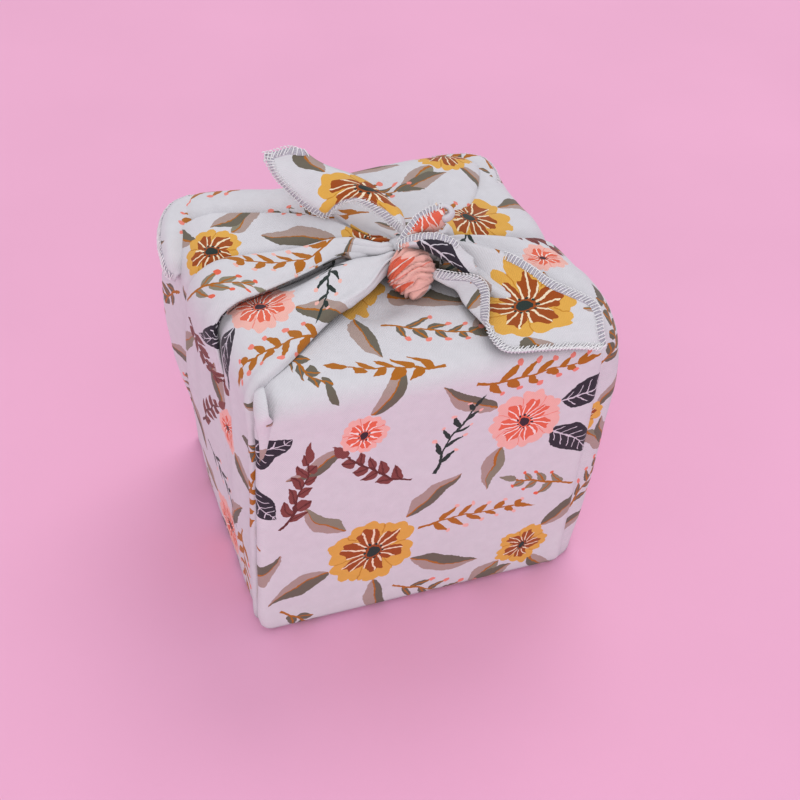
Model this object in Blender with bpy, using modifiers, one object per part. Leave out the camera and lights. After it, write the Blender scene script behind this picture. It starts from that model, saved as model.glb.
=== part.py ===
"""Furoshiki wrap: a square cotton cloth folded round a box and tied in a knot.

The cloth is set out as one solid body: the wrapped form with its gathered
wings, the knot on top and the free corners that leave it.  Lengths in the
tables are millimetres; MM turns them into metres.  The origin is the middle
of the flat base, X runs along the front face, Y to the back and Z up.
"""
import math

import bmesh
import bpy
import numpy as np
from mathutils import Vector

MM = 0.001

# ---- driving dimensions -------------------------------------------------
BOX_WIDTH = 170.0        # wrapped box, left to right
BOX_DEPTH = 150.0        # front to back
BOX_HEIGHT = 165.0
CORNER_ROUND = 8.0       # upright corners
TOP_ROUND = 11.0         # rim of the lid
FOOT_ROUND = 5.0         # rim of the base
CROWN = 2.5              # rise of the cloth over the middle of the lid
PANEL_LAP = 3.0          # how far the front panel stands over the left wing
FRONT_PUFF = 3.5         # the front panel stands off the box by this much
EDGE_RADIUS = 13.0       # bend of the wings over the rim
TAIL_THICKNESS = 2.0     # folded corner of the cloth
KNOT_CENTRE = (6.0, -15.0, 179.5)
KNOT_HALF = (13.0, 12.0, 13.0)
KNOT_RIDGES = 5
KNOT_RIDGE_HEIGHT = 1.1

# ---- fold tables ----------------------------------------------------------
# One row for each line of the folds, from the front of a wing to its back
# (or from left to right on the back).  "side" is the place across the wing
# and "out" the height of the cloth above the box: at the neck of the knot,
# in the fan beside it, half way over the lid, at the rim, and on the face
# at 137, 94, 45 and 3 mm above the base.
FOLD_COLUMNS = ("side_neck", "side_fan", "side_lid", "side_rim",
                "side_137", "side_94", "side_45", "side_foot",
                "out_neck", "out_fan", "out_lid", "out_rim",
                "out_137", "out_94", "out_45", "out_foot")
FAN_AT = 0.25            # share of the way from the neck to the rim
LID_AT = 0.52
FACE_LEVELS = (137.0, 94.0, 45.0)

LEFT_NEAR_FOLDS = (
    # front border, over a hollow beside the knot and along the front panel
    (-13, -33, -39, -70, -71, -71, -71, -71, -2, -3, -3, 1, 1, 1, 1, 1),
    (-13, -31, -37, -67, -69, -69, -69, -69, 0, 0, 0, 3, 2, 2, 1.5, 1.5),
    (-11, -23, -29, -56, -58, -59, -60, -60, 1, 1, 1, 5, 3, 2.5, 2, 2),
    (-9, -14, -21, -42, -40, -40, -42, -44, 1, 1, 1, 4, 3, 3, 3, 2),
    (-7, -6, -12, -30, -28, -27, -26, -26, 0, 0, 2, 6, 6, 6, 5, 2.5),
    (-6, -1, -4, -20, -20, -16, -12, -10, -1, -3, -2, 5, 5, 6, 5, 2),
    # crease between the two folds that leave the knot
    (-5, 2, 0, -14, -12, -6, 2, 6, -1, -5, -5, 6, 8, 8, 6, 2),
    (-4, 1, -2, -16, -6, 4, 16, 22, 2, 0, 1, 10, 10, 10, 7, 3),
    (-3, 6, 6, -8, 4, 16, 30, 36, 2, 3, 5, 13, 12, 12, 8, 3),
    (-1, 11, 14, 0, 13, 26, 42, 46, 2, 2, 5, 13, 14, 13, 8, 3),
    # rolled edge that lies over the far layer
    (0, 13, 17, 3, 17, 31, 48, 52, 0, 0, 4, 11, 13, 12, 7, 2.5),
    (0.5, 13.5, 18, 4, 18, 32, 49, 53, -6, -7, -5, 1, 3, 3, 1, 0.5),
)
LEFT_FAR_FOLDS = (
    (-2, 9, 13, -6, 6, 20, 36, 42, -1, -1, 1, 5, 5, 5, 3, 1),
    (-1, 14, 22, 14, 24, 32, 42, 46, 0, 1, 4, 9, 9, 8, 4, 2),
    (1, 21, 33, 34, 40, 44, 48, 50, 1, 3, 7, 13, 16, 14, 6, 2),
    (3.5, 28, 43, 53, 56, 56, 56, 56, 2, 4, 8, 15, 19, 17, 8, 2),
    (4.5, 31, 47, 60, 62, 62, 62, 60, 0, 0, 3, 12, 16, 13, 5, 1.5),
    (6, 37, 55, 71, 73, 72, 70, 68, 1, 1, 3, 10, 10, 8, 4, 2),
    (7, 44, 64, 78, 78, 77, 75, 72, -1, -1, 1, 5, 3, 2, 1, 0.8),
)
RIGHT_NEAR_FOLDS = (
    (-20, -30, -44, -74, -77, -78, -77, -75, 0, 0, 0.5, 1, 1, 1, 1, 1),
    (-18, -27, -40, -70, -72, -73, -72, -71, 0, 0.5, 2, 8, 12, 11, 11, 8),
    (-16, -23, -34, -60, -61, -62, -62, -61, 0, 1, 3, 14, 18, 16, 16, 13),
    (-13, -18, -27, -47, -46, -47, -47, -47, 1, 2, 4, 18, 18, 15, 15, 12),
    (-10, -12, -18, -32, -28, -28, -28, -28, 2, 3, 4, 16, 14, 12, 12, 9),
    (-6, -5, -9, -18, -10, -8, -8, -8, 2, 3, 4, 11, 10, 8, 8, 6),
    (-3, 1, -1, -5, 4, 8, 10, 12, 1, 2, 3, 6, 5, 5, 5, 4),
    (-2, 2, 1, -2, 6, 10, 12.5, 15.3, -4, -4, -3, -1.5, -1.5, -1.5, -1.5, -1.5),
)
RIGHT_FAR_FOLDS = (
    (-3, -1, -3, -8, -2, 2, 4, 6, 0, 0, 0.5, 1, 1, 1, 1, 1),
    (-1, 6, 8, 6, 12, 14, 14, 14, 3, 3, 4, 6, 3, 3, 3, 2),
    (0, 12, 18, 22, 24, 24, 24, 24, 2, 1, 2, 5, 3.5, 4, 4, 3),
    (1, 19, 29, 38, 38, 38, 38, 38, 3, 4, 6, 4, 2, 3, 3, 2),
    (2, 25, 38, 50, 50, 50, 50, 50, 2, 1, 3, 4, 2, 3, 3, 2),
    (3, 33, 50, 65, 64, 64, 64, 64, 2, 3, 5, 7, 4, 4, 4, 2),
    (4, 42, 62, 77, 76, 75, 74, 72, 0, 0, 2, 5, 1, 1, 1, 1),
)
BACK_FOLDS = (
    (-4, -24, -40, -70, -72, -72, -72, -72, 0, 0, 1, 1, 1, 1, 1, 1),
    (-3, -20, -34, -60, -60, -60, -60, -60, 2, 3, 4, 7, 5, 4, 3, 2),
    (-1, -12, -20, -38, -36, -36, -36, -36, 1, 2, 3, 8, 5, 3, 2, 2),
    (2, -3, -6, -10, -10, -10, -10, -10, 2, 4, 5, 9, 4, 3, 2, 2),
    (6, 10, 14, 18, 18, 18, 18, 18, 1, 2, 4, 10, 4, 3, 2, 2),
    (11, 22, 32, 46, 46, 46, 46, 46, 2, 4, 6, 13, 6, 4, 3, 2),
    (15, 34, 48, 68, 68, 68, 68, 68, 1, 2, 4, 12, 5, 3, 2, 2),
    (17, 38, 55, 78, 77, 76, 76, 75, 0, 0, 2, 7, 1, 1, 1, 1),
)

# ---- corners of the cloth --------------------------------------------------
# One row for each section, from the knot to the tip; the four points of a
# section run across the cloth from one hem to the other.
SHEET_COLUMNS = ("near_hem", "keel", "trough", "far_hem")

RIGHT_TAIL = (
    ((12, -22, 181), (12, -22, 177), (17, -15, 175), (20, -9, 184)),
    ((22, -29, 180), (19, -29, 175), (29, -24, 173), (32, -10, 185)),
    ((33, -34, 180), (24, -31, 172), (37, -30, 171), (44, -15, 182.5)),
    ((35, -41, 177.5), (25, -38, 170), (44, -38, 170.5), (55, -22, 180)),
    ((32, -50, 175), (27, -46, 169.8), (50, -46, 170), (64, -31, 177)),
    ((29, -59, 172), (31, -55, 169.2), (54, -54, 169.5), (69, -42.5, 174.5)),
    ((29, -69, 170), (36, -66, 169), (57, -61, 169.5), (76, -51, 172.5)),
    ((33, -76, 168.6), (43, -73, 168.8), (63, -68, 169.3), (83.5, -58, 170.5)),
    ((50, -79, 168.2), (58, -76, 168.6), (70, -73, 168.8), (83, -66, 169.5)),
    ((66, -81, 167), (70, -80, 167.4), (75, -78, 167.8), (81, -74, 168)),
    ((78, -82.8, 165), (79, -82.2, 165.2), (80.4, -81.2, 165.4), (81.8, -80, 165.4)),
)
LEFT_TAIL = (
    ((3, -8, 182), (5, -6, 186), (8, -3, 187), (10, -2, 184)),
    ((4.5, 1, 187.5), (5, 2, 190), (6.5, 1.5, 192), (8, 1, 190)),
    ((2, 14, 191.5), (3, 13, 193.5), (4.5, 11, 195), (7, 8, 194.5)),
    ((-4, 20, 193), (-1.5, 19, 195.5), (1.5, 17, 197), (4.5, 15, 196.5)),
    ((-10, 24, 193), (-6.5, 23.5, 196), (-3, 23, 198), (1, 22.5, 198)),
    ((-18, 26, 189.5), (-13, 28, 195), (-7, 29, 199), (-1, 29, 199)),
    ((-25, 30, 185.5), (-20, 32, 193), (-13, 35, 199), (-7, 37, 200)),
    ((-31, 33.5, 187), (-26.5, 36, 194.5), (-20, 39, 199.5), (-13.5, 41.5, 201)),
    ((-36, 36.5, 191), (-32, 40, 197), (-26, 44, 200.5), (-21, 49, 202)),
    ((-41, 42, 195.5), (-37.5, 46, 199.5), (-33, 50, 201.5), (-27, 54.5, 202)),
    ((-45, 52, 200), (-41, 54, 202.5), (-35.5, 56, 203), (-29.5, 58, 203)),
    ((-46, 60, 203.5), (-41.5, 60, 204), (-35.5, 60, 204), (-29.5, 60, 204)),
)
TONGUE = (
    ((0, -20, 187), (9, -20, 190), (18, -22, 190), (27, -24, 186)),
    ((3, -13, 190), (10, -13, 193), (19, -15, 193), (28, -17, 189)),
    ((12, -6, 193.5), (16, -6, 195.5), (22, -8, 196), (29, -10, 193)),
    ((23, 1, 195), (25, 1, 196), (27, 0, 196), (31, -3, 195)),
)
CORNER_ROLL = ((-72, -60, 168), (-82, -70, 169), (-88, -73, 162), (-88, -72.5, 146))


def smooth(a):
    """Ease a fraction in and out."""
    a = np.clip(a, 0.0, 1.0)
    return a * a * (3.0 - 2.0 * a)


def catmull(points, t):
    """Point at 0..1 on a smooth line through the given points."""
    p = np.asarray(points, float)
    n = len(p) - 1
    x = min(max(t, 0.0), 1.0) * n
    k = min(int(x), n - 1)
    f = x - k
    p0 = p[k - 1] if k > 0 else 2 * p[0] - p[1]
    p3 = p[k + 2] if k + 2 <= n else 2 * p[n] - p[n - 1]
    p1, p2 = p[k], p[k + 1]
    return 0.5 * (2 * p1 + (p2 - p0) * f + (2 * p0 - 5 * p1 + 4 * p2 - p3) * f * f
                  + (3 * p1 - p0 - 3 * p2 + p3) * f ** 3)


# ---- scene helpers -----------------------------------------------------------
def clear_scene():
    for obj in list(bpy.data.objects):
        bpy.data.objects.remove(obj, do_unlink=True)


def new_collection(name):
    group = bpy.data.collections.new(name)
    bpy.context.scene.collection.children.link(group)
    return group


def cloth_material():
    mat = bpy.data.materials.new("cotton_cloth")
    mat.use_nodes = True
    shader = mat.node_tree.nodes["Principled BSDF"]
    shader.inputs["Base Color"].default_value = (0.78, 0.74, 0.74, 1.0)
    shader.inputs["Roughness"].default_value = 0.85
    shader.inputs["Metallic"].default_value = 0.0
    return mat


def object_from(bm, name, group):
    """Turn millimetre geometry into an object at true size."""
    for v in bm.verts:
        v.co *= MM
    bmesh.ops.recalc_face_normals(bm, faces=bm.faces)
    mesh = bpy.data.meshes.new(name)
    bm.to_mesh(mesh)
    bm.free()
    obj = bpy.data.objects.new(name, mesh)
    group.objects.link(obj)
    return obj


def as_guide(obj):
    obj.hide_render = True
    obj.display_type = "WIRE"
    return obj


# ---- the wrapped box -----------------------------------------------------------
def rounded_box(name, group, low, high, cuts, rounds, crown=0.0, soft=0.0):
    """A subdivided cube drawn out to a box with rounded rims."""
    low, high = np.array(low, float), np.array(high, float)
    foot, side, top = rounds
    bm = bmesh.new()
    bmesh.ops.create_cube(bm, size=2.0)
    bmesh.ops.subdivide_edges(bm, edges=bm.edges[:], cuts=cuts, use_grid_fill=True)
    half = (high - low) / 2.0
    mid = (high + low) / 2.0
    for v in bm.verts:
        unit = np.array(v.co)
        # draw the rows of the grid toward the rims, where the form bends
        unit = np.sin(unit * math.pi / 2.0) * 0.55 + unit * 0.45
        p = unit * half
        r = side
        if unit[2] > 0:
            r = side + (top - side) * smooth((unit[2] - 0.6) / 0.4)
        else:
            r = side + (foot - side) * smooth((-unit[2] - 0.6) / 0.4)
        r = min(r, float(half.min()) * 0.95)
        inner = np.clip(p, -(half - r), half - r)
        away = p - inner
        length = np.linalg.norm(away)
        if length > 1e-9:
            p = inner + away / length * r
        rise = crown * math.cos(unit[0] * math.pi / 2) * math.cos(unit[1] * math.pi / 2)
        if unit[2] > 0.99:
            p[2] += rise
        # the faces belly out a little between their rims
        belly = soft * (1 - unit[2] ** 2)
        p[1] += belly * np.sign(unit[1]) * abs(unit[1]) ** 4 * (1 - unit[0] ** 2)
        v.co = Vector(p + mid)
    return object_from(bm, name, group)


# ---- wings ------------------------------------------------------------------------
class Side:
    """Directions of one side of the box and the neck its cloth leaves from."""

    def __init__(self, out, across, reach, neck, buried, foot):
        self.out = np.array(out, float)
        self.across = np.array(across, float)
        self.reach = reach
        self.neck = np.array(neck, float)
        self.buried = buried    # depth of the hidden inner side inside the box
        self.foot = foot        # level of the lower end

        self.lid_run = reach - EDGE_RADIUS - float(self.neck @ self.out)
        self.bend = EDGE_RADIUS * math.pi / 2
        self.drop = BOX_HEIGHT - EDGE_RADIUS - foot
        self.keys = [0.0, self.lid_run * FAN_AT, self.lid_run * LID_AT,
                     self.lid_run + self.bend / 2]
        self.keys += [self.lid_run + self.bend + BOX_HEIGHT - EDGE_RADIUS - z for z in FACE_LEVELS]
        self.keys += [self.lid_run + self.bend + self.drop]

    def stations(self, lid, bend, face):
        """Runs from the neck at which the slab has a row of points."""
        runs = [self.lid_run * i / lid for i in range(lid)]
        runs += [self.lid_run + self.bend * i / bend for i in range(bend)]
        return runs + [self.lid_run + self.bend + self.drop * i / face for i in range(face + 1)]

    def path(self, row, run):
        """Point of a fold line at a run from the neck."""
        r = EDGE_RADIUS
        side = eased_line(run, self.keys, row[0:8])
        lift = eased_line(run, self.keys, row[8:16])
        if run < self.lid_run:
            f = run / self.lid_run
            level = BOX_HEIGHT + (self.neck[2] - BOX_HEIGHT) * (1 - f) ** 1.15
            along, normal = float(self.neck @ self.out) + run, (0.0, 1.0)
        elif run < self.lid_run + self.bend:
            a = (run - self.lid_run) / r
            along = self.reach - r + r * math.sin(a)
            level = BOX_HEIGHT - r + r * math.cos(a)
            normal = (math.sin(a), math.cos(a))
        else:
            along = self.reach
            level = BOX_HEIGHT - r - (run - self.lid_run - self.bend)
            normal = (1.0, 0.0)
        point = self.out * (along + normal[0] * lift) + self.across * side
        point[2] = level + normal[1] * lift
        return point

    def inner(self, point):
        """The point moved inside the box, for the hidden side of the slab."""
        along = min(float(point @ self.out), self.reach - self.buried)
        level = min(point[2], BOX_HEIGHT - self.buried)
        side = float(point @ self.across)
        q = self.out * along + self.across * side
        q[2] = max(level, self.foot)
        return q


def eased_line(x, keys, values):
    """Smooth line through keyed values, overshoot kept small."""
    keys = list(keys)
    k = 0
    while k < len(keys) - 2 and x > keys[k + 1]:
        k += 1
    x0, x1 = keys[k], keys[k + 1]
    f = min(max((x - x0) / (x1 - x0), 0.0), 1.0)

    def slope(i):
        if i == 0 or i == len(keys) - 1:
            return 0.0 if i == 0 else (values[i] - values[i - 1]) / (keys[i] - keys[i - 1])
        return (values[i + 1] - values[i - 1]) / (keys[i + 1] - keys[i - 1])

    m0, m1 = slope(k) * (x1 - x0), slope(k + 1) * (x1 - x0)
    return ((2 * f ** 3 - 3 * f ** 2 + 1) * values[k] + (f ** 3 - 2 * f ** 2 + f) * m0
            + (-2 * f ** 3 + 3 * f ** 2) * values[k + 1] + (f ** 3 - f ** 2) * m1)


def wing(name, group, side, rows, between, stations=(6, 4, 7)):
    """A closed slab whose outer side carries the folds."""
    across = (len(rows) - 1) * between + 1
    runs = side.stations(*stations)
    along = len(runs)
    bm = bmesh.new()
    outer, hidden = [], []
    for i in range(across):
        row = catmull(rows, i / (across - 1))
        line = [side.path(row, run) for run in runs]
        outer.append([bm.verts.new(p) for p in line])
        hidden.append([bm.verts.new(side.inner(p)) for p in line])
    for i in range(across - 1):
        for j in range(along - 1):
            bm.faces.new((outer[i][j], outer[i + 1][j], outer[i + 1][j + 1], outer[i][j + 1]))
            bm.faces.new((hidden[i][j], hidden[i][j + 1], hidden[i + 1][j + 1], hidden[i + 1][j]))
    rim = [(i, 0) for i in range(across)] + [(across - 1, j) for j in range(1, along)]
    rim += [(i, along - 1) for i in range(across - 2, -1, -1)] + [(0, j) for j in range(along - 2, 0, -1)]
    for (a, b), (c, d) in zip(rim, rim[1:] + rim[:1]):
        bm.faces.new((outer[a][b], hidden[a][b], hidden[c][d], outer[c][d]))
    return as_guide(object_from(bm, name, group))


# ---- knot and corners ---------------------------------------------------------------
def knot_ball(name, group):
    """The ball of the knot, ridged by the twist of the cloth."""
    bm = bmesh.new()
    bmesh.ops.create_uvsphere(bm, u_segments=20, v_segments=12, radius=1.0)
    turn = math.radians(38.0)
    for v in bm.verts:
        x, y, z = v.co
        round_about = math.atan2(y, x)
        swell = 1.0 + KNOT_RIDGE_HEIGHT / KNOT_HALF[0] * math.cos(KNOT_RIDGES * round_about + 2.6 * z)
        x, y = x * swell, y * swell
        # the twist leans toward the right tail
        x, z = x * math.cos(turn) + z * math.sin(turn), z * math.cos(turn) - x * math.sin(turn)
        v.co = Vector((KNOT_CENTRE[0] + x * KNOT_HALF[0], KNOT_CENTRE[1] + y * KNOT_HALF[1],
                       KNOT_CENTRE[2] + z * KNOT_HALF[2]))
    return as_guide(object_from(bm, name, group))


def lump(name, group, centre, half):
    bm = bmesh.new()
    bmesh.ops.create_uvsphere(bm, u_segments=14, v_segments=8, radius=1.0)
    for v in bm.verts:
        v.co = Vector([centre[k] + v.co[k] * half[k] for k in range(3)])
    return as_guide(object_from(bm, name, group))


def loose_corner(name, group, rows, along, across, thickness):
    """A free corner of the cloth: an open surface through its sections."""
    bm = bmesh.new()
    grid = []
    for i in range(along):
        section = [catmull([row[k] for row in rows], i / (along - 1)) for k in range(4)]
        grid.append([bm.verts.new(catmull(section, j / (across - 1))) for j in range(across)])
    for i in range(along - 1):
        for j in range(across - 1):
            bm.faces.new((grid[i][j], grid[i + 1][j], grid[i + 1][j + 1], grid[i][j + 1]))
    obj = as_guide(object_from(bm, name, group))
    shell = obj.modifiers.new("thickness", "SOLIDIFY")
    shell.thickness = thickness * MM
    shell.offset = 0.0
    shell.use_even_offset = False
    return obj


def rolled_edge(name, group, points, radius):
    """A rolled edge of cloth: a round bar along a short line."""
    bm = bmesh.new()
    rings = []
    count, around = 9, 8
    for i in range(count):
        p = catmull(points, i / (count - 1))
        q = catmull(points, min(i / (count - 1) + 0.02, 1.0))
        o = catmull(points, max(i / (count - 1) - 0.02, 0.0))
        axis = Vector(q - o).normalized()
        side = axis.orthogonal().normalized()
        up = axis.cross(side)
        rings.append([bm.verts.new(Vector(p) + radius * (side * math.cos(a) + up * math.sin(a)))
                      for a in (2 * math.pi * k / around for k in range(around))])
    for a, b in zip(rings, rings[1:]):
        for k in range(around):
            bm.faces.new((a[k], a[(k + 1) % around], b[(k + 1) % around], b[k]))
    bm.faces.new(rings[0][::-1])
    bm.faces.new(rings[-1])
    return as_guide(object_from(bm, name, group))


# ---- assembly ---------------------------------------------------------------------------
def join(body, group):
    union = body.modifiers.new("join", "BOOLEAN")
    union.operation = "UNION"
    union.solver = "EXACT"
    union.operand_type = "COLLECTION"
    union.collection = group


def build():
    clear_scene()
    parts = new_collection("furoshiki_wrap_parts")
    guides = new_collection("cutters")
    half_w, half_d = BOX_WIDTH / 2, BOX_DEPTH / 2

    body = rounded_box("furoshiki_wrap", parts, (-half_w, -half_d - FRONT_PUFF, 0),
                       (half_w, half_d, BOX_HEIGHT), 13,
                       (FOOT_ROUND, CORNER_ROUND, TOP_ROUND), CROWN, 1.0)
    body.data.materials.append(cloth_material())

    left_out, right_out, back_out = (-1, 0, 0), (1, 0, 0), (0, 1, 0)
    left_far = Side(left_out, back_out, half_w, (-3.1, -4, 181.5), 6.2, 3.4)
    left_near = Side(left_out, back_out, half_w, (-2.0, -4, 182), 7.1, 2.9)
    right_far = Side(right_out, back_out, half_w, (24.7, -6, 180.6), 8.3, 3.6)
    right_near = Side(right_out, back_out, half_w, (26.2, -6, 181), 9.2, 2.7)
    back = Side(back_out, right_out, half_d, (6, 4, 179), 10.4, 3.1)
    # folded side of the front panel, which stands over the left wing
    as_guide(rounded_box("front_fold", guides, (-half_w - PANEL_LAP, -half_d - FRONT_PUFF + 0.4, 4.0),
                         (-half_w + 12.0, -half_d + 3.5, BOX_HEIGHT - 7.0), 6, (3.0, 4.0, 5.0)))
    wing("left_far_layer", guides, left_far, LEFT_FAR_FOLDS, 3)
    wing("left_near_layer", guides, left_near, LEFT_NEAR_FOLDS, 2)
    wing("right_far_layer", guides, right_far, RIGHT_FAR_FOLDS, 2)
    wing("right_near_layer", guides, right_near, RIGHT_NEAR_FOLDS, 2)
    wing("back_layer", guides, back, BACK_FOLDS, 2)
    lump("left_neck", guides, (-2, -7, 176.5), (12, 10, 12.5))
    lump("right_neck", guides, (24, -8, 176), (14, 11, 12))
    knot_ball("knot", guides)
    loose_corner("left_tail", guides, LEFT_TAIL, 18, 8, TAIL_THICKNESS)
    loose_corner("right_tail", guides, RIGHT_TAIL, 18, 10, TAIL_THICKNESS)
    loose_corner("tongue", guides, TONGUE, 8, 7, TAIL_THICKNESS)
    rolled_edge("corner_roll", guides, CORNER_ROLL, 2.6)
    join(body, guides)


build()
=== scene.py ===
"""Furoshiki wrap: a square of printed cotton twill folded round a box and knotted.

The cloth is one piece of thin fabric on the folds of the wrapped form, with
the overlocked hems that show on it.  Lengths in the tables are millimetres;
MM turns them into metres.  X runs along the front face, Y to the back, Z up,
and the origin is the middle of the flat base.
"""

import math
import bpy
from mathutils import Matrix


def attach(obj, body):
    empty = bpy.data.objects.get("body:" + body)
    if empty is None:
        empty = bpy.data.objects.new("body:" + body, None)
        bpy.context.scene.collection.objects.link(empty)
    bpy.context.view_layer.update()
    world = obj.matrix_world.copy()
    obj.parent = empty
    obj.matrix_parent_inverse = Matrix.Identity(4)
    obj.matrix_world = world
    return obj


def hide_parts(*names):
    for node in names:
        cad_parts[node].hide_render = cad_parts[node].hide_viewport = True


bl_info = {
    "name": "Furoshiki Wrap",
    "version": (1, 0, 0),
    "blender": (4, 5, 0),
    "location": "View3D > Sidebar > Wrap",
    "description": "Square cotton cloth folded round a box and tied in a knot",
    "category": "Add Mesh",
}

import bmesh
import bpy
import numpy as np
from mathutils import Matrix, Vector, noise

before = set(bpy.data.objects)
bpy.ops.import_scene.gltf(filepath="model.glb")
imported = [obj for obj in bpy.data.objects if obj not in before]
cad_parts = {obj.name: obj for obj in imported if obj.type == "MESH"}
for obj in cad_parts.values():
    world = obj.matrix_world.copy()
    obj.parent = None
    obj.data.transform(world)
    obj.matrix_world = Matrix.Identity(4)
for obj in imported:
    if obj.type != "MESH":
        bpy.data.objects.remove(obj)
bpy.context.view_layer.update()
NODE = "furoshiki_wrap"
MM = 0.001

# ---- the wrapped box, in millimetres ----
BOX_WIDTH = 170.0
BOX_DEPTH = 150.0
BOX_HEIGHT = 165.0
FRONT_PUFF = 3.5         # the front panel stands off the box
CORNER_ROUND = 8.0
TOP_ROUND = 11.0
FOOT_ROUND = 5.0
CROWN = 2.5
EDGE_RADIUS = 13.0       # bend of the wings over the rim
PANEL_LAP = 3.2          # the front panel's folded side stands over the left wing
BASE_LEVEL = 0.8         # the base lies on the turned-in wings

# ---- fold tables ----
# One row for each line of the folds, from the front of a wing to its back (or
# from left to right on the back).  "side" is the place across the wing and
# "out" the height of the cloth above the box: at the neck of the knot, in the
# fan beside it, half way over the lid, at the rim, and on the face at 137, 94,
# 45 and 3 mm above the base.
FAN_AT = 0.25
LID_AT = 0.52
FACE_LEVELS = (137.0, 94.0, 45.0)

LEFT_NEAR_FOLDS = (
    # rolled front border, over a hollow beside the knot and along the front panel
    (-12, -26, -32.5, -64, -68.2, -68.4, -68.4, -68.4, -1, -1.5, -0.8, 1.4, 1, 1, 1, 1),
    (-11.8, -25, -31, -62.6, -67.2, -67.3, -67.3, -67.3, 0.6, 1.2, 1.4, 4, 3.4, 3.2, 3, 2.8),
    (-11, -22, -27, -59, -64.2, -64.2, -64.2, -64.2, 1.2, 1.6, 2.2, 5, 4.2, 4, 3.8, 3.2),
    (-10, -17, -22, -53, -60.4, -60.4, -60.4, -60.4, 1.5, 2.5, 2.8, 3.8, 2, 1.8, 1.8, 1.8),
    (-9, -11, -15, -40, -48, -48, -48, -48, 1.5, 3, 4, 5, 3.6, 3.4, 3.4, 2.4),
    (-7.5, -4, -8, -27, -37, -38, -38, -37, 0.5, 1.5, 3, 6, 5.5, 5.5, 5, 2.5),
    # crease between the two folds that leave the knot
    (-6.2, 2.2, 0.2, -13, -26, -28, -29, -28, -1, -2.5, -2.6, 4, 4.6, 4.8, 4.5, 2.2),
    (-5.8, 5, 3.8, -8.5, -20, -20, -20, -20, -1, -2, -1.6, 6, 6, 6, 5, 2.4),
    (-5, 7, 6.6, -4, -9, -6, -4, -2, 1, 1, 1.6, 9, 9.5, 8.5, 6.5, 3),
    (-4, 9, 12, 7.5, 10, 16, 21, 25, 2.2, 3, 4.2, 12, 12.5, 11.5, 8, 3),
    # rolled edge that lies over the far layer
    (-2.5, 11, 15, 17, 20.5, 30, 36, 40, 2.2, 3, 4.6, 12.5, 13.5, 12.5, 8, 3),
    (-1.5, 12, 17, 20.5, 25, 36, 44, 48, 0.6, 1.2, 3, 11, 12, 11, 6.5, 2.5),
)
LEFT_FAR_FOLDS = (
    (-1.5, 8, 10.5, 4, 10, 21, 33, 38, -1.5, -3, -2, 5, 5, 5, 3, 1),
    (-1, 13, 19, 19, 23, 33, 41, 45, 0.2, -0.2, 0.8, 8.5, 9, 8, 4.5, 2),
    (-0.5, 16, 25, 28, 33, 40.5, 46.5, 49.5, 1.4, 1.8, 3, 12, 13, 11, 5.5, 2),
    (1, 20.5, 33, 39.5, 43.5, 47, 50.5, 52.5, 2, 2.6, 4.4, 13, 15.4, 12.6, 5.2, 2),
    # ridge that hides the cloth behind it
    (2.5, 26, 40, 51, 54, 54, 55, 55, 3, 3.8, 6, 14.4, 18.2, 15.6, 6.5, 2),
    (3, 28, 42.5, 54.5, 57, 57, 57, 57, 2.4, 3, 5.4, 13.8, 17.8, 15.2, 6, 2),
    (3.6, 29.5, 45, 58, 60.5, 60.5, 60, 59, 0.2, 0, 1, 9.4, 14.6, 11.8, 4.6, 1.6),
    (5, 35, 53, 67, 68, 68, 67, 66, 1, 1.2, 3.2, 11, 12.6, 10, 4.6, 2),
    (6.5, 41, 62, 77, 77, 75.5, 74, 72, 1, 2, 4.6, 9.6, 8, 6, 3.6, 1.5),
    (7.5, 46, 68, 82, 79, 77, 76, 74, 0, 0.5, 3, 6.5, 2.6, 1.8, 1.2, 0.8),
)
RIGHT_NEAR_FOLDS = (
    (-20, -30, -44, -75, -76.5, -76.5, -76.5, -75.5, 0, 0, 0.3, 0.3, -1, -1, -1, -1),
    (-18, -27, -40, -70, -72, -73, -72, -71, 0, 0, 1, 7.5, 12, 11, 11, 8),
    (-16, -23, -34, -60, -61, -62, -62, -61, 0, 0.5, 1.5, 12, 16.6, 16, 15, 12),
    (-13, -18, -27, -47, -46, -47, -47, -47, 0.5, 1, 2.5, 14.5, 17.4, 15, 14, 11),
    (-10, -12, -18, -32, -28, -28, -28, -28, 1.5, 2.5, 4, 13.5, 15.5, 12, 11, 8),
    (-7, -6, -9, -17, -13, -10, -9, -8, 2.5, 4, 6, 11.5, 11, 10, 8, 6),
    (-4, -1.5, -2.5, -5, 0, 4, 7, 9, 3, 5, 7.5, 10, 6.5, 5, 5, 4),
    (-3.2, 0, 0, -1, 5, 9, 12, 14, 1.5, 3.2, 6, 8, 4, 3.5, 3.5, 3),
)
RIGHT_FAR_FOLDS = (
    (-5, -4, -5, -6, -6, -2, 2, 4, 0, 0, 0, 2, 1.5, 1.5, 1.5, 1.5),
    (-3, 1, 2, 3, 2, 4, 6, 8, 1, 0.8, 1.4, 5, 4, 3, 3, 2),
    (-2, 6, 9, 11, 10, 10, 10, 10, 3.4, 3.6, 4.8, 8, 5, 4, 4, 3),
    (-1, 12, 18, 22, 22, 22, 22, 22, 4, 4.6, 5.6, 8.5, 4, 3, 3, 2),
    (1, 19, 29, 38, 38, 38, 38, 38, 2.5, 2.5, 3.5, 7, 2, 3, 3, 2),
    (2, 25, 38, 52, 50, 50, 50, 50, 1.5, 1, 2.5, 6, 2, 3, 3, 2),
    (3, 33, 50, 66, 64, 64, 64, 64, 0.5, 1, 2, 6, 4, 4, 4, 2),
    (4, 42, 62, 77, 76, 75, 74, 72, 0, 0, 1, 4, 1.2, 1.2, 1.2, 1.2),
)
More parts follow.
